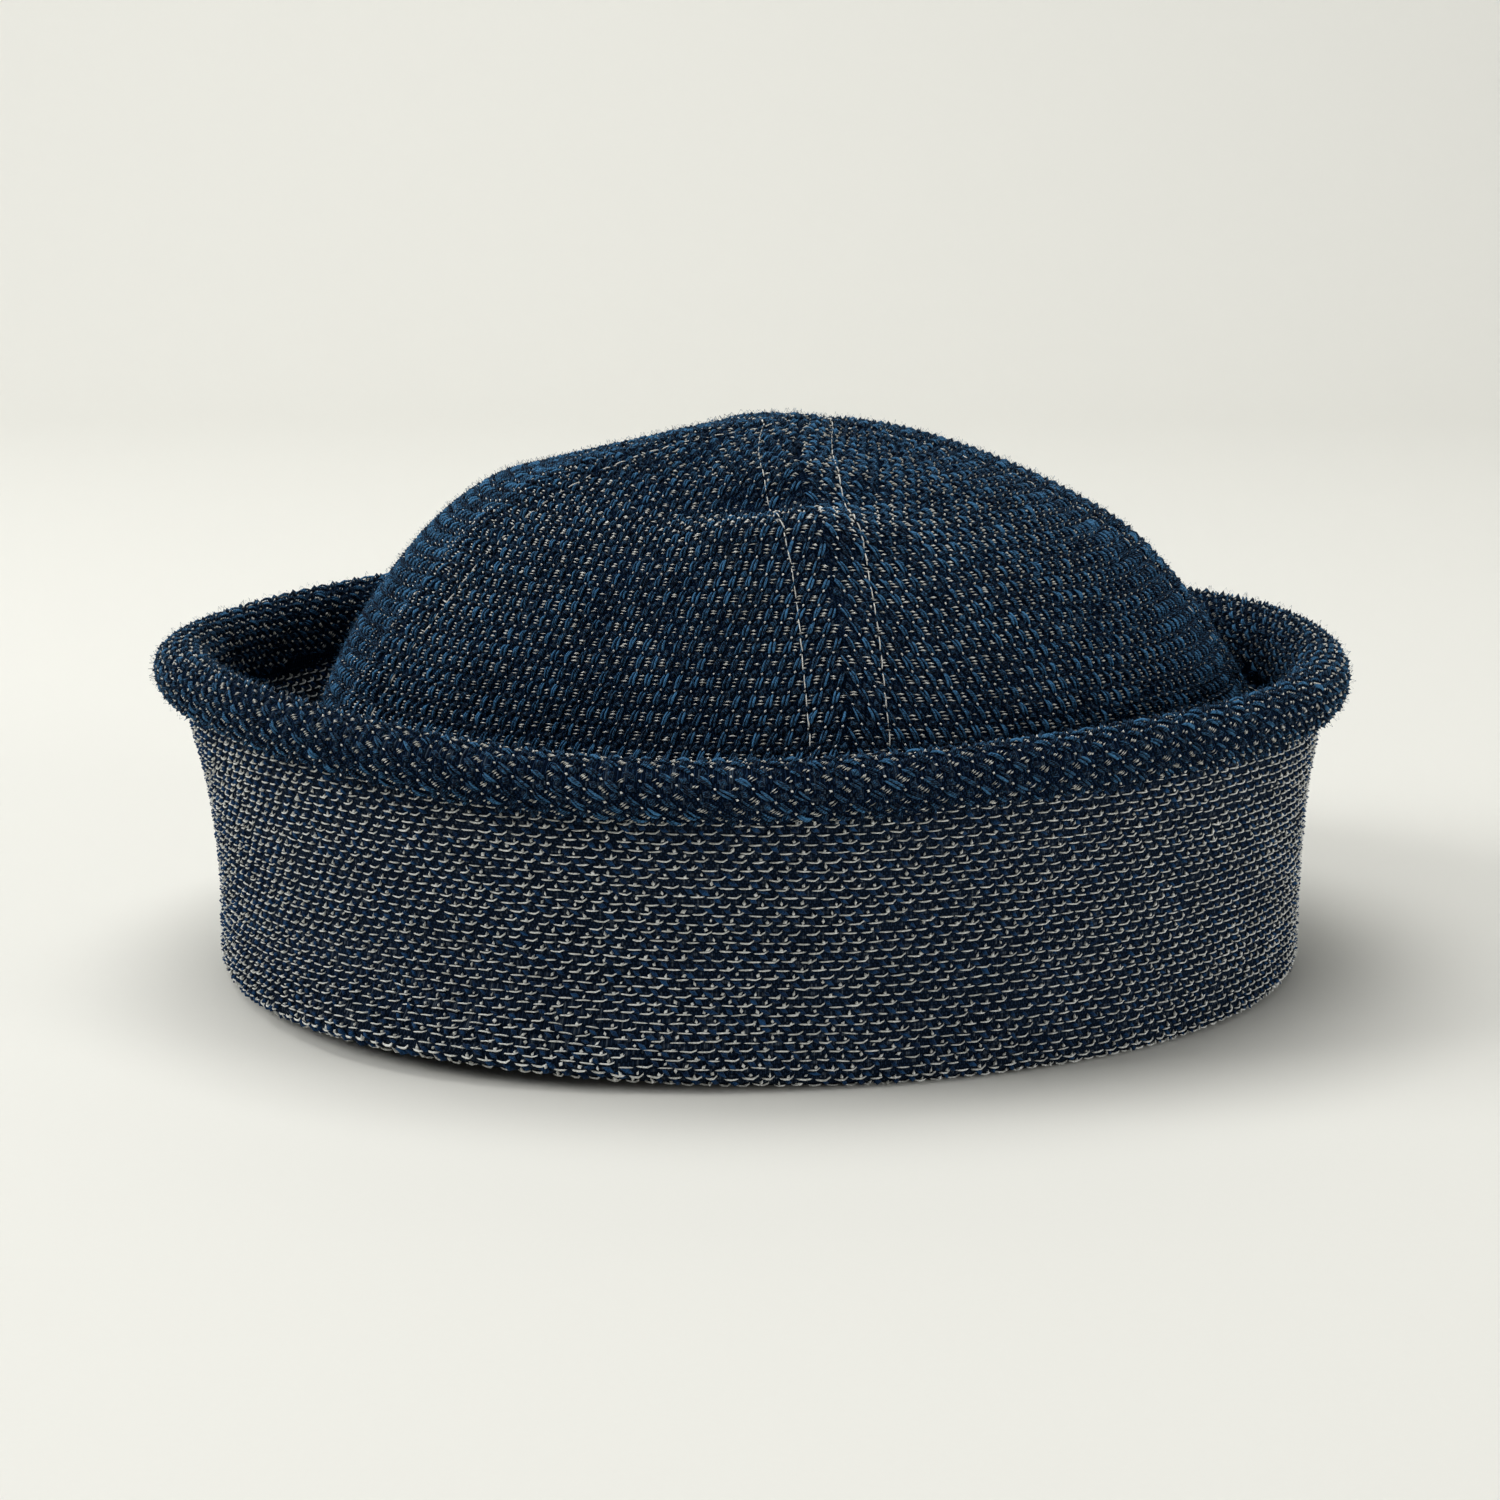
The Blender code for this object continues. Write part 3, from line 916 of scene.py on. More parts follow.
@dataclass
class FaceYarns:
    """The strands of the face side, and how they are laid on any face of cloth."""

    weave: FloatWeave = FloatWeave()
    blue: Strand = Strand(length=0.00255, width=0.00048, height=0.00060)
    dash: Strand = Strand(length=0.00124, width=0.00036, height=0.00014, rings=1, sink=0.6)
    dot: Strand = Strand(length=0.00060, width=0.00050, height=0.00022, rings=1)
    rib: Strand = Strand(length=0.00180, width=0.00150, height=0.00034, rings=1, sink=0.6)
    fibre: Strand = Strand(length=0.00190, width=0.000045, height=0.00120, rings=1)
    blue_shade: float = 0.40
    cream_shade: float = 0.78
    rib_shade: float = -0.22

    def __post_init__(self) -> None:
        """Models each kind of strand once, and takes the weave's ways as arrays."""
        self.blues, self.dashes, self.dots, self.ribs, self.fibres = (
            strand.model() for strand in (self.blue, self.dash, self.dot, self.rib, self.fibre)
        )
        self.weft, self.warp = np.array(self.weave.weft), np.array(self.weave.warp)

    def floats(self, weaver: Weaver, spots: Array) -> Batches:
        """Pairs of blue floats that run along the warp, and the dull ribs between them."""
        unit = self.weft / np.hypot(*self.weft)
        shade = weaver.rng.normal(0.0, 0.20, len(spots))
        batches = []
        for side in (-0.5, 0.5):
            pair = spots + unit * self.weave.pair_gap * side
            places = weaver.scatter(pair, self.warp, shade=self.blue_shade)
            places.shade = clipped(places.shade + shade)
            batches.append((self.blues, places))
        ribs = weaver.scatter(spots + (self.warp - self.weft) / 2, self.warp, shade=self.rib_shade, vary=0.06)
        return [*batches, (self.ribs, ribs)]

    def creams(self, weaver: Weaver, spots: Array) -> Batches:
        """The dot above each float, and stacks of cream dashes between the floats."""
        up = self.warp / np.hypot(*self.warp)
        lean = self.warp + 0.25 * self.weft
        dots = weaver.scatter(spots + self.warp / 2, lean, lift=0.00002, shade=self.cream_shade + 0.2)
        batches = [(self.dots, dots)]
        for step in self.weave.stack:
            stack = spots - self.weft / 2 + up * self.weave.dash_pitch * step
            places = weaver.scatter(stack, self.weft, shade=self.cream_shade, vary=0.25)
            kept = weaver.rng.random(len(places)) < 0.96 - 0.22 * abs(step)
            batches.append((self.dashes, places.only(kept)))
        return batches

    def fuzz(self, weaver: Weaver, spots: Array) -> Batches:
        """Loose fibres that stand off the cloth, two for each pair of floats."""
        pairs = np.repeat(spots, 2, axis=0)
        places = weaver.scatter(pairs, (1.0, 0.0), lift=0.0004, stray=0.0011, sway=90.0, vary=0.3)
        return [(self.fibres, places)]

    def layers(self, weaver: Weaver, spots: Array) -> tuple[tuple[str, YarnFinish, Batches], ...]:
        """Each layer of the face side: its name, its finish and its strands."""
        return (
            ("floats", BLUE_YARN, self.floats(weaver, spots)),
            ("picks", CREAM_YARN, self.creams(weaver, spots)),
            ("fuzz", BLUE_YARN, self.fuzz(weaver, spots)),
        )


@dataclass
class Crown:
    """The dome's four gores with their yarns and the stitching beside the seams."""

    wardrobe: Wardrobe
    yarns: FaceYarns
    dome: Dome = field(default_factory=Dome)
    columns: int = 44
    rows: int = 46
    recess: float = 0.00015
    bare_below: float = 0.0130
    bare_top: float = 0.003
    seam_margin: float = 0.0003
    stitch: Strand = Strand(length=0.0031, width=0.00034, height=0.00022, rings=4)
    stitch_pitch: float = 0.0033
    stitch_lift: float = 0.00036
    sunk_stitch_lift: float = 0.00004
    # Painted shade: strands round this azimuth, on the dome's right side away from the key lamp, are made
    # darker.
    faded_side: float = 92.0
    shaded_to: float = 72.0
    shaded_over: float = 30.0
    # How much the cream and the blue strands on that side are darkened, as painted shade.
    cream_painted_shade: float = 0.9
    blue_painted_shade: float = 0.16
    close_from: float = 0.66
    close_over: float = 0.16
    top_fading: float = 0.50
    top_hidden: float = 0.50

    def build(self) -> None:
        """Makes every piece of the dome."""
        for name in GoreName:
            piece = self.cloth(name)
            yarns = self.weave(name)
        shape = self.stitch.model()
        for seam_number, seam_name in enumerate(("front", "right", "back", "left")):
            weaver = Weaver(300 + seam_number)
            for side, side_name in ((-1.0, "left"), (1.0, "right")):
                gore = Gore(self.dome, seam_number if side > 0 else (seam_number - 1) % 4)
                line = [(shape, self.topstitches(weaver, gore, seam_number, side))]
                label = f"topstitch_{side_name}_of_{seam_name}_seam"
                attach(weaver.lay(label, gore, line, self.wardrobe.of(STITCH_THREAD)), "face_cloth")

    def cloth(self, name: GoreName) -> bpy.types.Object:
        """One gore of cloth, with its own thickness.

        Args:
            name: which gore.

        Returns:
            The piece.
        """
        gore = Gore(self.dome, name.value)
        deselect_all()
        bpy.ops.mesh.primitive_grid_add(x_subdivisions=self.columns, y_subdivisions=self.rows, size=2.0)
        piece = bpy.context.object
        piece.name = piece.data.name = f"crown_cloth_{name.label}"
        side, rise, _ = points_of(piece.data).T
        across_share = np.sign(side) * (1.0 - (1.0 - np.abs(side)) ** 1.6)
        along = (rise + 1.0) / 2 * self.dome.lengths[-1]
        across = across_share * gore.half_width(along)
        uneven = 0.00012 * ripples(across, along, 0.016, 11 + name.value) * (1.0 - np.abs(across_share) ** 4)
        points = gore.lifted(across, along, uneven - self.recess)
        tip = rise > 0.9999
        points[tip] = points[tip].mean(axis=0)
        points[tip, :2] = place(np.zeros(1), np.zeros(1), np.zeros(1), np.full(1, self.apex_x))[0, :2]
        move_points(piece.data, points)
        corners = corners_of(piece.data)
        map_cloth(piece.data, across[corners], along[corners])
        for finish in (FACE_GROUND, REVERSE_GROUND):
            piece.data.materials.append(self.wardrobe.of(finish))
        with editing():
            bpy.ops.mesh.remove_doubles(threshold=1e-6)
        thick = piece.modifiers.new("Solidify", "SOLIDIFY")
        thick.thickness, thick.offset, thick.material_offset = self.dome.sizes.cloth, -1.0, 1
        bpy.ops.object.modifier_apply(modifier=thick.name)
        smooth_faces(piece.data)
        return attach(piece, "face_cloth", f"crown_panel_{name.label}")

    @property
    def apex_x(self) -> float:
        """Where the dome's top lies to the side of the middle."""
        return self.dome.sizes.brim_lean + self.dome.shift * self.dome.profile[-1][2]

    def weave(self, name: GoreName) -> list[bpy.types.Object]:
        """Lays a gore's yarns.

        Args:
            name: which gore.

        Returns:
            Its floats, its cream picks and its fuzz, as one piece each.
        """
        gore = Gore(self.dome, name.value)
        weaver = Weaver(100 + name.value)
        spots = self.yarns.weave.spots(0.16, self.dome.lengths[-1])
        spots[:, 1] += 0.00035 * ripples(spots[:, 0], spots[:, 1], 0.045, 31 + name.value)
        spots = spots[spots[:, 1] > self.bare_below]
        made = []
        for label, finish, batches in self.yarns.layers(weaver, spots):
            kept = [(shape, self.within(weaver, gore, shape, places)) for shape, places in batches]
            piece = weaver.lay(f"crown_{label}_{name.label}", gore, kept, self.wardrobe.of(finish))
            made.append(attach(piece, "face_cloth"))
        return made

    def within(self, weaver: Weaver, gore: Gore, shape: YarnShape, places: Places) -> Places:
        """Paints shade on the strands of the dome's right side, away from the key lamp, and drops those that
        cross a seam or crowd the top.

        Args:
            weaver: the gore's own unevenness.
            gore: the gore that they lie on.
            shape: the kind of strand.
            places: where copies of it would lie.

        Returns:
            The places that are kept.
        """
        level = gore.level(places.along)
        # Painted shade: how far each strand lies in the shaded right side, whose creams and blues are
        # darkened.
        away = np.abs(angle_between(gore.azimuth(places.across, level), self.faded_side))
        painted_shade = clipped((self.shaded_to - away) / self.shaded_over)
        shown = np.abs(places.across) < gore.half_width(places.along) - self.seam_margin
        shown &= places.along < self.dome.lengths[-1] - self.bare_top
        if shape is self.yarns.blues:
            places.shade = clipped(places.shade - self.blue_painted_shade * painted_shade)
        if shape is self.yarns.dashes or shape is self.yarns.dots:
            closed_up = clipped((level - self.close_from) / self.close_over)
            places.shade = clipped(places.shade - self.cream_painted_shade * painted_shade - self.top_fading * closed_up)
            shown &= weaver.rng.random(len(level)) > self.top_hidden * closed_up
        return places.only(shown)

    def topstitches(self, weaver: Weaver, gore: Gore, seam_number: int, side: float) -> Places:
        """Lays out a line of white stitches beside a seam, up to where the lines meet at the top.

        Args:
            weaver: the seam's own unevenness.
            gore: the gore that the line runs on.
            seam_number: which seam, from the front towards +X.
            side: -1 on the seam's left, 1 on its right.

        Returns:
            A place for each stitch.
        """
        front_or_back = seam_number % 2 == 0
        offset = self.dome.stitch_line
        levels = np.linspace(0.0, self.dome.top_level, 4000)
        levels = levels[self.dome.radius(levels) > offset * (1.02 if front_or_back else 1.5)]
        turn = side * np.degrees(np.arcsin(offset / self.dome.radius(levels)))
        away = angle_between(self.dome.seam(seam_number, levels) + turn, gore.middle(levels))
        across = np.radians(away) * gore.radius(levels)
        along = np.interp(levels, self.dome.levels, self.dome.lengths)
        length = travelled(*gore.point(across, along).T)
        marks = np.arange(self.bare_below, length[-1], self.stitch_pitch)
        spot, ahead = (
            np.stack([np.interp(reach, length, across), np.interp(reach, length, along)], axis=-1)
            for reach in (marks, marks + 0.001)
        )
        lift = self.stitch_lift if front_or_back else self.sunk_stitch_lift
        places = weaver.scatter(spot, (0.0, 1.0), lift=lift, shade=0.7, stray=0.00004, sway=3.0, vary=0.05)
        way = ahead - spot
        way[-1] = way[-2]
        places.angle = places.angle + np.arctan2(-way[:, 0], way[:, 1])
        return places


@dataclass
class BrimShape:
    """The turned-up brim's wall and its rolled binding, as the CAD part has them."""

    sizes: CapSizes = CapSizes()
    rim_height: float = 0.0558
    rim_wave: float = 0.0015
    rim_stretch: float = 0.0007
    flare: float = 0.0042
    binding_width: float = 0.0096
    binding_pad: float = 0.0048
    binding_tilt: float = 0.0009
    outer_drop: float = 0.0094
    inner_drop: float = 0.0138
    slack_push: float = 0.0090
    slack_lift: float = 0.0032
    slack_at: float = -31.0
    slack_spread: float = 27.0
    slack_height: float = 0.0110
    waves: tuple[tuple[int, float, float], ...] = (
        (1, -0.79, -0.41), (2, -1.02, 0.07), (3, -0.19, -0.25), (4, -0.30, 0.53),
    )
    wall: tuple[tuple[float, float], ...] = (
        (0.00, 0.00), (0.28, 0.03), (0.54, 0.16), (0.78, 0.40), (1.00, 0.76), (1.227, 1.00),
    )
    roll: tuple[tuple[float, float], ...] = (
        (0.50, 0.98), (0.86, 0.78), (1.00, 0.48), (0.88, 0.22), (0.52, 0.06), (0.00, 0.00),
        (-0.50, 0.06), (-0.88, 0.22), (-1.00, 0.46), (-0.98, 0.72), (-0.86, 0.93),
    )

    def __post_init__(self) -> None:
        """Smooths the wall and the roll, and measures the way round the roll."""
        fine = smooth_rows(np.array(self.wall), np.linspace(0.0, len(self.wall) - 1.0, 200))
        self.wall_share, self.wall_flare = fine.T
        side, drop = smooth_rows(np.array(self.roll), np.linspace(0.0, len(self.roll) - 1.0, 400)).T
        self.roll_out = side * self.binding_width / 2
        self.roll_down = np.maximum(drop, 0.0) * np.where(side > 0.0, self.outer_drop, self.inner_drop)
        self.roll_length = travelled(self.roll_out, self.roll_down)

    def crest(self, azimuth: Array) -> Array:
        """The height of the binding's crest, at azimuths in radians."""
        waves = sum(c * np.cos(n * azimuth) + s * np.sin(n * azimuth) for n, c, s in self.waves)
        return self.rim_height + self.rim_wave * waves

    def radius(self, azimuth: Array, flare: Array) -> Array:
        """The radius of the brim's outer face at a share of its flare."""
        return self.sizes.brim_radius + flare * (self.flare - self.rim_stretch * np.cos(2 * azimuth))

    def slackened(self, azimuth: Array, radius: Array, height: Array) -> tuple[Array, Array]:
        """Where the wall's slack foot goes on one side: out, and up off the table.

        Args:
            azimuth: azimuths in radians.
            radius: radii of the even foot.
            height: heights of the even foot.

        Returns:
            The radii and the heights of the slack one.
        """
        inner, outer = self.sizes.head_radius, self.sizes.brim_radius
        away = angle_between(np.degrees(azimuth), self.slack_at)
        share = bell(away / self.slack_spread) * bell(height / self.slack_height)
        share = share * clipped((radius - inner) / (outer - inner)) ** 2
        return radius + self.slack_push * share, height + self.slack_lift * share

    def flare_at(self, azimuth: Array, height: Array) -> Array:
        """The flare share at a height on the wall."""
        foot = self.sizes.fold_height
        share = (height - foot) / (self.crest(azimuth) - self.inner_drop - foot)
        return np.interp(share, self.wall_share, self.wall_flare)

    def centre_x(self, flare: Array) -> Array:
        """The side shift of a ring at this flare share."""
        return self.sizes.brim_lean * (1.0 - flare)

    def at(self, azimuth: Array, radius: Array, height: Array, flare: Array) -> Array:
        """Points of the brim, on a ring at this flare share."""
        return place(azimuth, radius, height, self.centre_x(flare))


@dataclass
class WallFace(ClothFace):
    """A visible face of the brim's wall. Along is from the top of the bottom fold, less than 0 round it."""

    shape: BrimShape
    inwards: float = 0.0
    facing_in: bool = False

    @property
    def girth(self) -> float:
        """The distance across that makes one turn."""
        return 2 * math.pi * self.shape.sizes.brim_radius

    def azimuth(self, across: Array) -> Array:
        """The azimuth in radians at each distance across. A face that faces in runs the other way round."""
        return across / self.shape.sizes.brim_radius * (-1.0 if self.facing_in else 1.0)

    def point(self, across: Array, along: Array) -> Array:
        """Points of the wall's face, and of the fold under it."""
        sizes = self.shape.sizes
        azimuth = self.azimuth(across)
        fold = sizes.fold_height
        turn = np.clip(along / fold, -math.pi / 2, 0.0)
        height = np.where(along > 0.0, along + fold, fold + fold * np.sin(turn))
        flare = self.shape.flare_at(azimuth, height)
        under = np.minimum(along + fold * math.pi / 2, 0.0)
        radius = self.shape.radius(azimuth, flare) - fold * (1.0 - np.cos(turn)) + under - self.inwards
        if not self.facing_in:
            radius, height = self.shape.slackened(azimuth, radius, height)
        return self.shape.at(azimuth, radius, height, flare)


@dataclass
class RollFace(ClothFace):
    """The rolled binding's face. Along runs from its outer lip over the crest to its inner lip."""

    shape: BrimShape

    @property
    def radius(self) -> float:
        """The radius at which distances across are measured."""
        return self.shape.sizes.brim_radius + self.shape.flare

    def point(self, across: Array, along: Array) -> Array:
        """Points of the roll's face."""
        azimuth = across / self.radius
        middle = self.shape.radius(azimuth, 1.0) - self.shape.sizes.plies / 2 + self.shape.binding_tilt
        out = np.interp(along, self.shape.roll_length, self.shape.roll_out)
        down = np.interp(along, self.shape.roll_length, self.shape.roll_down)
        return self.shape.at(azimuth, middle + out, self.shape.crest(azimuth) - down, 1.0)


def turned_ring(name: str, section: Callable[[Array], Array], segments: int) -> bpy.types.Object:
    """Draws a closed section round the cap, ring by ring, and lets each point follow the cap's waves.

    Args:
        name: the piece's name.
        section: gives (sections, azimuths, 3) points for azimuths in radians.
        segments: how many points make one turn.

    Returns:
        The piece.
    """
    plain = section(np.zeros(1))[:, 0, :]
    radii, heights = -plain[:, 1], plain[:, 2]
    deselect_all()
    bpy.ops.mesh.primitive_circle_add(
        vertices=segments, radius=float(radii[0]), location=(0.0, 0.0, float(heights[0])), fill_type="NOTHING"
    )
    piece = bpy.context.object
    piece.name = piece.data.name = name
    bpy.ops.object.transform_apply(location=True)
    with editing():
        for before, after, low, high in zip(radii, radii[1:], heights, heights[1:]):
            bpy.ops.mesh.extrude_region_move(TRANSFORM_OT_translate={"value": (0.0, 0.0, float(high - low))})
            scale = float(after / before)
            bpy.ops.transform.resize(value=(scale, scale, 1.0), center_override=(0.0, 0.0, 0.0))
        bpy.ops.mesh.select_all(action="DESELECT")
        bpy.ops.mesh.select_non_manifold(extend=False)
        bpy.ops.mesh.bridge_edge_loops()
    x, y, z = points_of(piece.data).T
    ring = np.hypot(np.hypot(x, y)[:, None] - radii, z[:, None] - heights).argmin(axis=1)
    move_points(piece.data, section(np.arctan2(x, -y))[ring, np.arange(len(x))])
    with editing():
        bpy.ops.mesh.normals_make_consistent(inside=False)
    smooth_faces(piece.data)
    return piece


def map_ring(piece: bpy.types.Object, radius: float) -> None:
    """Gives a ring its cloth map in metres: round it across, and up its section along.

    Args:
        piece: the ring.
        radius: the radius at which distances across are measured.
    """
    mesh = piece.data
    x, y, z = points_of(mesh)[corners_of(mesh)].T
    turn = np.arctan2(x, -y)
    faces = np.repeat(np.arange(len(mesh.polygons)), [len(face.vertices) for face in mesh.polygons])
    widest = np.zeros(len(mesh.polygons))
    np.maximum.at(widest, faces, np.abs(turn))
    behind = widest[faces] > math.pi * 0.9
    turn = np.where(behind & (turn < 0.0), turn + 2 * math.pi, turn)
    map_cloth(mesh, turn * radius, z + np.hypot(x, y))


@dataclass
class Brim:
    """The doubled brim, reverse side out, with the dashes that show on both of its faces."""

    wardrobe: Wardrobe
    shape: BrimShape
    segments: int = 180
    recess: float = 0.00012
    row_pitch: float = 0.00146
    dash_period: float = 0.00280
    straight: Strand = Strand(length=0.00235, width=0.00034, height=0.00030)
    curled: Strand = Strand(length=0.00250, width=0.00034, height=0.00030, rings=4, reach=0.82, curl=0.00066)
    knot: Strand = Strand(length=0.00094, width=0.00060, height=0.00026, rings=1)
    blue: Strand = Strand(length=0.00190, width=0.00110, height=0.00010, rings=1, sink=0.6)
    outer_rows_from: float = -0.0022
    inner_rows_from: float = 0.0150
    straight_share: float = 0.42
    knot_share: float = 0.76
    blue_share: float = 0.75
    # Painted light: the inner ply's yarns are made lighter, to stand in for light on the inside of the brim.
    inner_painted_light: float = 0.22

    def __post_init__(self) -> None:
        """Models each kind of strand once, the curled one with its curl to the other side."""
        self.straights, curled, self.knots, self.blues = (
            strand.model() for strand in (self.straight, self.curled, self.knot, self.blue)
        )
        mirrored = curled.points * (-1.0, 1.0, 1.0)
        self.curls = YarnShape(mirrored, curled.triangles[:, ::-1], curled.yarn_map[:, ::-1])

    def build(self) -> None:
        """Makes both plies and their yarns."""
        for name, section in (("brim_outer", self.outer_section), ("brim_inner", self.inner_section)):
            ply = turned_ring(f"{name}_cloth", section, self.segments)
            map_ring(ply, self.shape.sizes.brim_radius)
            ply.data.materials.append(self.wardrobe.of(REVERSE_GROUND))
            attach(ply, "reverse_cloth", name)
        outside = WallFace(self.shape)
        inside = WallFace(self.shape, self.shape.sizes.plies, True)
        outer = self.dress("brim_outer", outside, self.outer_rows_from, self.shape.outer_drop, 500)
        # The inner ply gets the painted light on its yarns.
        inner = self.dress(
            "brim_inner", inside, self.inner_rows_from, self.shape.inner_drop, 600, light=self.inner_painted_light
        )

    def outer_section(self, azimuth: Array) -> Array:
        """The lower ply's section, from under the dome's edge out, up the wall and back inside.

        Args:
            azimuth: azimuths in radians.

        Returns:
            A ring of points for each step of the section.
        """
        sizes = self.shape.sizes
        fold = sizes.fold_height
        foot = sizes.brim_radius - fold
        zero = np.zeros_like(azimuth)
        outside = [(zero + sizes.head_radius, zero, zero)]
        inside = [(zero + sizes.head_radius, zero + sizes.cloth, zero)]
        for turn in np.radians((0.0, 18.0, 36.0, 54.0, 72.0)):
            for row, bend, recess in ((outside, fold, self.recess), (inside, sizes.fold_inside, 0.0)):
                radius = foot + (bend - recess) * np.sin(turn)
                row.append((zero + radius, zero + fold - bend * np.cos(turn), zero))
        top = self.shape.crest(azimuth) - self.shape.binding_pad
        for share in np.linspace(0.0, 1.0, 16):
            height = fold + (top - fold) * share
            flare = self.shape.flare_at(azimuth, height)
            radius = self.shape.radius(azimuth, flare)
            outside.append((radius - self.recess, height, flare))
            inside.append((radius - sizes.cloth, height, flare))
        return np.stack([
            self.shape.at(azimuth, *self.shape.slackened(azimuth, radius, height), flare)
            for radius, height, flare in outside + inside[::-1]
        ])

    def inner_section(self, azimuth: Array) -> Array:
        """The upper ply's section, against the inside of the lower one.

        Args:
            azimuth: azimuths in radians.

        Returns:
            A ring of points for each step of the section.
        """
        sizes = self.shape.sizes
        outer, inner = [], []
        top = self.shape.crest(azimuth) - self.shape.binding_pad
        bottom = sizes.fold_height + sizes.clearance
        for share in np.linspace(0.0, 1.0, 16):
            height = bottom + (top - bottom) * share
            flare = self.shape.flare_at(azimuth, height)
            radius = self.shape.radius(azimuth, flare) - sizes.cloth - sizes.clearance
            outer.append(self.shape.at(azimuth, radius, height, flare))
            inner.append(self.shape.at(azimuth, radius - sizes.cloth + self.recess, height, flare))
        return np.stack(outer + inner[::-1])

    def dress(
        self, name: str, face: WallFace, start: float, drop: float, seed: int, light: float = 0.0
    ) -> list[bpy.types.Object]:
        """Lays the reverse side's yarns on one face of the brim.

        Args:
            name: the ply's name.
            face: its visible face.
            start: where the lowest row runs.
            drop: how far below the crest the binding's lip is on this face.
            seed: the ply's own unevenness.
            light: how much lighter its yarns are painted than the outer ply's, a painted light that stands in
                for light reaching this ply.

        Returns:
            The pieces that lie on the ply.
        """
        weaver = Weaver(seed)
        spots = self.rows(weaver, face, start, drop)
        tidy = weaver.rng.random(len(spots)) < self.straight_share
        # light is the ply's painted light, added to every shade below.
        straight = weaver.scatter(
            spots[tidy], (1.0, 0.02), shade=0.55 + light, stray=0.00006, sway=3.0, vary=0.08
        )
        curled = weaver.scatter(spots[~tidy], (1.0, 0.0), shade=0.60 + light, stray=0.00006, sway=3.0)
        curled.girth = np.where(curled.girth > 1.0, curled.girth, 1.0)
        knots = spots[weaver.rng.random(len(spots)) < self.knot_share] + (0.00030, 0.00048)
        knots = knots + weaver.rng.normal(0.0, 0.00018, knots.shape)
        ticks = weaver.scatter(knots, (0.3, 1.0), lift=0.00005, shade=0.40 + light, sway=25.0, vary=0.18)
        patches = spots[weaver.rng.random(len(spots)) < self.blue_share] + (0.0014, 0.00065)
        blues = weaver.scatter(patches, (-1.0, 0.55), shade=0.28 + light, stray=0.00018, sway=10.0, vary=0.15)
        made = []
        for label, finish, batches in (
            ("dashes", REVERSE_CREAM_YARN, [(self.straights, straight), (self.curls, curled)]),
            ("ticks", REVERSE_CREAM_YARN, [(self.knots, ticks)]),
            ("blues", DULL_BLUE_YARN, [(self.blues, blues)]),
        ):
            piece = weaver.lay(f"{name}_{label}", face, batches, self.wardrobe.of(finish))
            made.append(attach(piece, "reverse_cloth"))
        return made

    def rows(self, weaver: Weaver, face: WallFace, start: float, drop: float) -> Array:
        """Lays out the middle of every dash, in rows that wander a little.

        Args:
            weaver: the ply's own unevenness.
            face: its visible face.
            start: where the lowest row runs.
            drop: how far below the crest the binding's lip is on this face.

        Returns:
            Rows of across and along.
        """
        count = round(face.girth / self.dash_period)
        period = face.girth / count
        lip = drop + self.shape.sizes.fold_height
        top = self.shape.rim_height + self.shape.rim_wave * 1.9 - lip
        steps, row = grid_spots(np.arange(count), np.arange(int((top - start) / self.row_pitch) + 2)).T
        drift = np.cumsum(weaver.rng.normal(0.0, 0.10, row.max() + 1))[row]
        across = (steps + 0.5 * (row % 2) + drift) * period
        along = start + row * self.row_pitch
        wander = 0.00028 * ripples(across, along, 0.040, weaver.seed + 1)
        along = along + wander + 0.00010 * ripples(across, along, 0.008, weaver.seed + 2)
        shown = along < self.shape.crest(face.azimuth(across)) - lip + 0.0004
        return np.stack([across, along], axis=-1)[shown]


@dataclass
class Binding:
    """The padded bias strip along the brim's top edge."""

    wardrobe: Wardrobe
    shape: BrimShape
    yarns: FaceYarns
    segments: int = 180
    recess: float = 0.00015
    bare_lips: float = 0.0006
    fill: float = 0.8

    def build(self) -> None:
        """Makes the roll and its yarns."""
        roll = turned_ring("rim_binding_roll", self.section, self.segments)
        map_ring(roll, self.shape.sizes.brim_radius)
        roll.data.materials.append(self.wardrobe.of(FACE_GROUND))
        attach(roll, "binding_cloth", "rim_binding")
        self.weave()

    def section(self, azimuth: Array) -> Array:
        """The roll's section with the slot that takes both plies.

        Args:
            azimuth: azimuths in radians.

        Returns:
            A ring of points for each step of the section.
        """
        face = RollFace(self.shape)
        clearance = self.shape.sizes.clearance
        zero = np.zeros_like(azimuth)
        stops = np.linspace(0.0, self.shape.roll_length[-1], 26)
        section = [face.lifted(azimuth * face.radius, zero + stop, zero - self.recess) for stop in stops]
        crest = self.shape.crest(azimuth)
        across = self.shape.sizes.plies + 2 * clearance
        top = self.shape.binding_pad - clearance
        for drop, inwards in (
            (self.shape.inner_drop, across), (top, across), (top, 0.0), (self.shape.outer_drop, 0.0),
        ):
            flare = self.shape.flare_at(azimuth, crest - drop)
            radius = self.shape.radius(azimuth, flare) + clearance - inwards
            section.append(self.shape.at(azimuth, radius, crest - drop, flare))
        return np.stack(section)

    def weave(self) -> None:
        """Lays the face side's yarns on the bias."""
        face = RollFace(self.shape)
        weaver = Weaver(700)
        girth = 2 * math.pi * face.radius
        length = self.shape.roll_length[-1]
        spots = self.yarns.weave.spots(girth, length)
        spots = spots[(spots[:, 1] > self.bare_lips) & (spots[:, 1] < length - self.bare_lips)]
        wander = [ripples(spots[:, 0], spots[:, 1], 0.012, seed) for seed in (71, 72)]
        spots = spots + 0.00015 * np.stack(wander, axis=-1)
        for label, finish, batches in self.yarns.layers(weaver, spots):
            piece = weaver.lay(f"rim_binding_{label}", face, batches, self.wardrobe.of(finish))
            attach(piece, "binding_cloth")


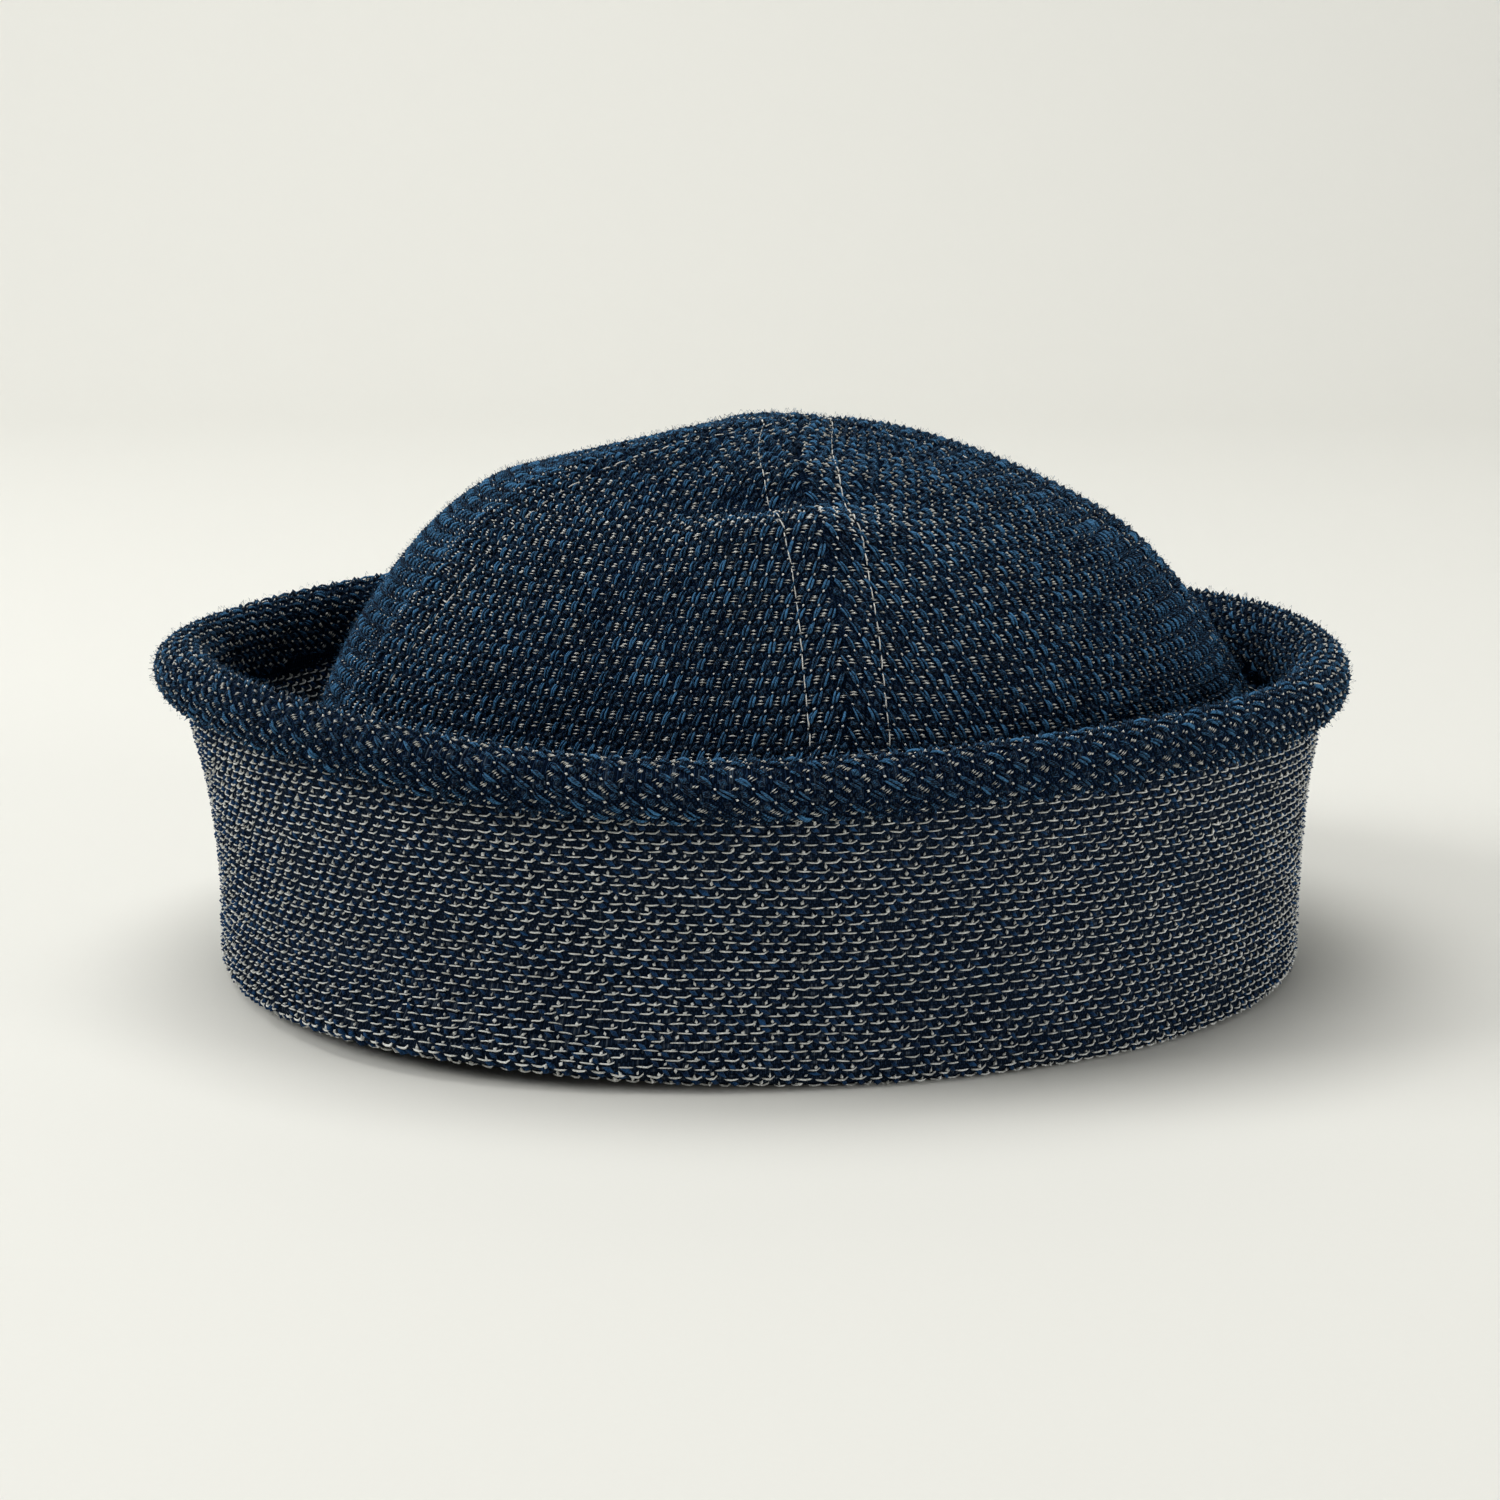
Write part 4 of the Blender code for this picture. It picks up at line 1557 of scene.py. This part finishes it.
@dataclass
class Studio:
    """A pale sweep, soft lights and the camera at the photograph's angle."""

    camera_place: tuple[float, float, float] = (0.00139, -0.600, 0.14893)
    camera_pitch: float = 0.187336
    camera_yaw: float = 0.003
    lens: float = 80.77
    floor_colour: Colour = (0.80, 0.795, 0.750)
    sweep_from: float = 1.05
    sweep_height: float = 1.6
    sweep_bend: float = 0.6
    world_light: float = 0.10

    def build(self) -> None:
        """Makes the stage, the lights and the camera."""
        self.sweep()
        self.lights()
        self.camera()

    def sweep(self) -> None:
        """A floor that curves up into the backdrop."""
        deselect_all()
        bpy.ops.mesh.primitive_plane_add(size=2.0)
        stage = bpy.context.object
        stage.name = stage.data.name = "stage_sweep"
        for corner in stage.data.vertices:
            corner.co.x *= 4.0
            corner.co.y = self.sweep_from + self.sweep_bend if corner.co.y > 0.0 else -3.0
        with editing():
            bpy.ops.mesh.select_mode(type="EDGE")
        self.pick_back_edge(stage.data)
        bpy.ops.object.mode_set(mode="EDIT")
        bpy.ops.mesh.extrude_region_move(TRANSFORM_OT_translate={"value": (0.0, 0.0, self.sweep_height)})
        bpy.ops.object.mode_set(mode="OBJECT")
        self.pick_back_edge(stage.data)
        bpy.ops.object.mode_set(mode="EDIT")
        bpy.ops.mesh.bevel(offset=self.sweep_bend, segments=24, profile=0.5)
        bpy.ops.object.mode_set(mode="OBJECT")
        stage.data.shade_smooth()
        graph = Graph("pale_paper")
        grain = graph.noise(900.0, 3.0)
        low, high = ((*(part * level for part in self.floor_colour), 1.0) for level in (0.985, 1.0))
        graph.colour(graph.blend(grain, low, high))
        graph.roughness(grain, 0.1, 0.8)
        graph.shader.inputs["Specular IOR Level"].default_value = 0.1
        stage.data.materials.append(graph.material)
        stage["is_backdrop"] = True

    @staticmethod
    def pick_back_edge(mesh: bpy.types.Mesh) -> None:
        """Selects the floor's back edge alone."""
        bpy.ops.object.mode_set(mode="EDIT")
        bpy.ops.mesh.select_all(action="DESELECT")
        bpy.ops.object.mode_set(mode="OBJECT")
        for edge in mesh.edges:
            ends = [mesh.vertices[number].co for number in edge.vertices]
            edge.select = all(abs(end.z) < 1e-6 and end.y > 0.0 for end in ends)

    def lights(self) -> None:
        """A big soft key from the upper left, a low fill from the right and an even surround."""
        for name, spot, aim, size, power in (
            ("key", (-1.6, -0.30, 1.1), (0.0, 0.0, 0.03), 1.0, 19.0),
            ("fill", (1.55, -0.75, 0.15), (0.0, 0.0, 0.03), 0.6, 15.0),
            ("top", (-0.2, 0.35, 2.0), (0.0, 0.2, 0.0), 1.6, 30.0),
            ("front", (-0.8, -1.2, 1.5), (0.0, 0.0, 0.03), 0.9, 3.5),
        ):
            lamp = bpy.data.lights.new(name, "AREA")
            lamp.shape, lamp.size, lamp.energy = "SQUARE", size, power
            lamp.color = (1.0, 1.0, 0.985)
            holder = bpy.data.objects.new(name, lamp)
            holder.location = spot
            holder.rotation_euler = (Vector(aim) - Vector(spot)).to_track_quat("-Z", "Y").to_euler()
            bpy.context.scene.collection.objects.link(holder)
        world = bpy.data.worlds.new("soft_surround")
        world.use_nodes = True
        sky = world.node_tree.nodes["Background"]
        sky.inputs[0].default_value = (1.0, 1.0, 0.985, 1.0)
        sky.inputs[1].default_value = self.world_light
        bpy.context.scene.world = world
        bpy.context.scene.view_settings.view_transform = "Standard"

    def camera(self) -> None:
        """The camera, where the photograph was taken from."""
        lens = bpy.data.cameras.new("camera")
        lens.lens, lens.sensor_width = self.lens, 36.0
        lens.clip_start, lens.clip_end = 0.01, 20.0
        camera = bpy.data.objects.new("camera", lens)
        camera.location = self.camera_place
        camera.rotation_euler = Euler((math.pi / 2 - self.camera_pitch, 0.0, self.camera_yaw))
        bpy.context.scene.collection.objects.link(camera)
        bpy.context.scene.camera = camera


def main() -> None:
    """Builds the dressed cap and its studio, and notes its size beside the CAD part's."""
    logging.basicConfig(level=logging.INFO, format="%(name)s %(message)s")
    wardrobe = Wardrobe()
    brim_shape = BrimShape()
    face_yarns = FaceYarns()
    bias = FloatWeave(
        weft=(0.0025, 0.00175), warp=(0.0031, -0.00205), dash_pitch=0.00038, stack=(-2.0, -1.0, 0.0, 1.0, 2.0)
    )
    # The binding's yarns get lower shades than the crown's: its blue floats are darker, and its cream dashes
    # are darkened as painted shade.
    bias_yarns = FaceYarns(
        bias, blue=Strand(length=0.00260, width=0.00050, height=0.00046),
        dash=Strand(length=0.00110, width=0.00030, height=0.00014, rings=1, sink=1.5),
        blue_shade=0.26, cream_shade=0.34,
    )
    Crown(wardrobe, face_yarns).build()
    Brim(wardrobe, brim_shape).build()
    Binding(wardrobe, brim_shape, bias_yarns).build()
    Studio().build()
    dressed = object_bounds()
    for label, box in (("CAD", CAD_BOX), ("dressed", dressed)):
        LOG.info("%s box %s", label, [round(part, 4) for corner in box for part in corner])


if __name__ == "__main__":
    main()
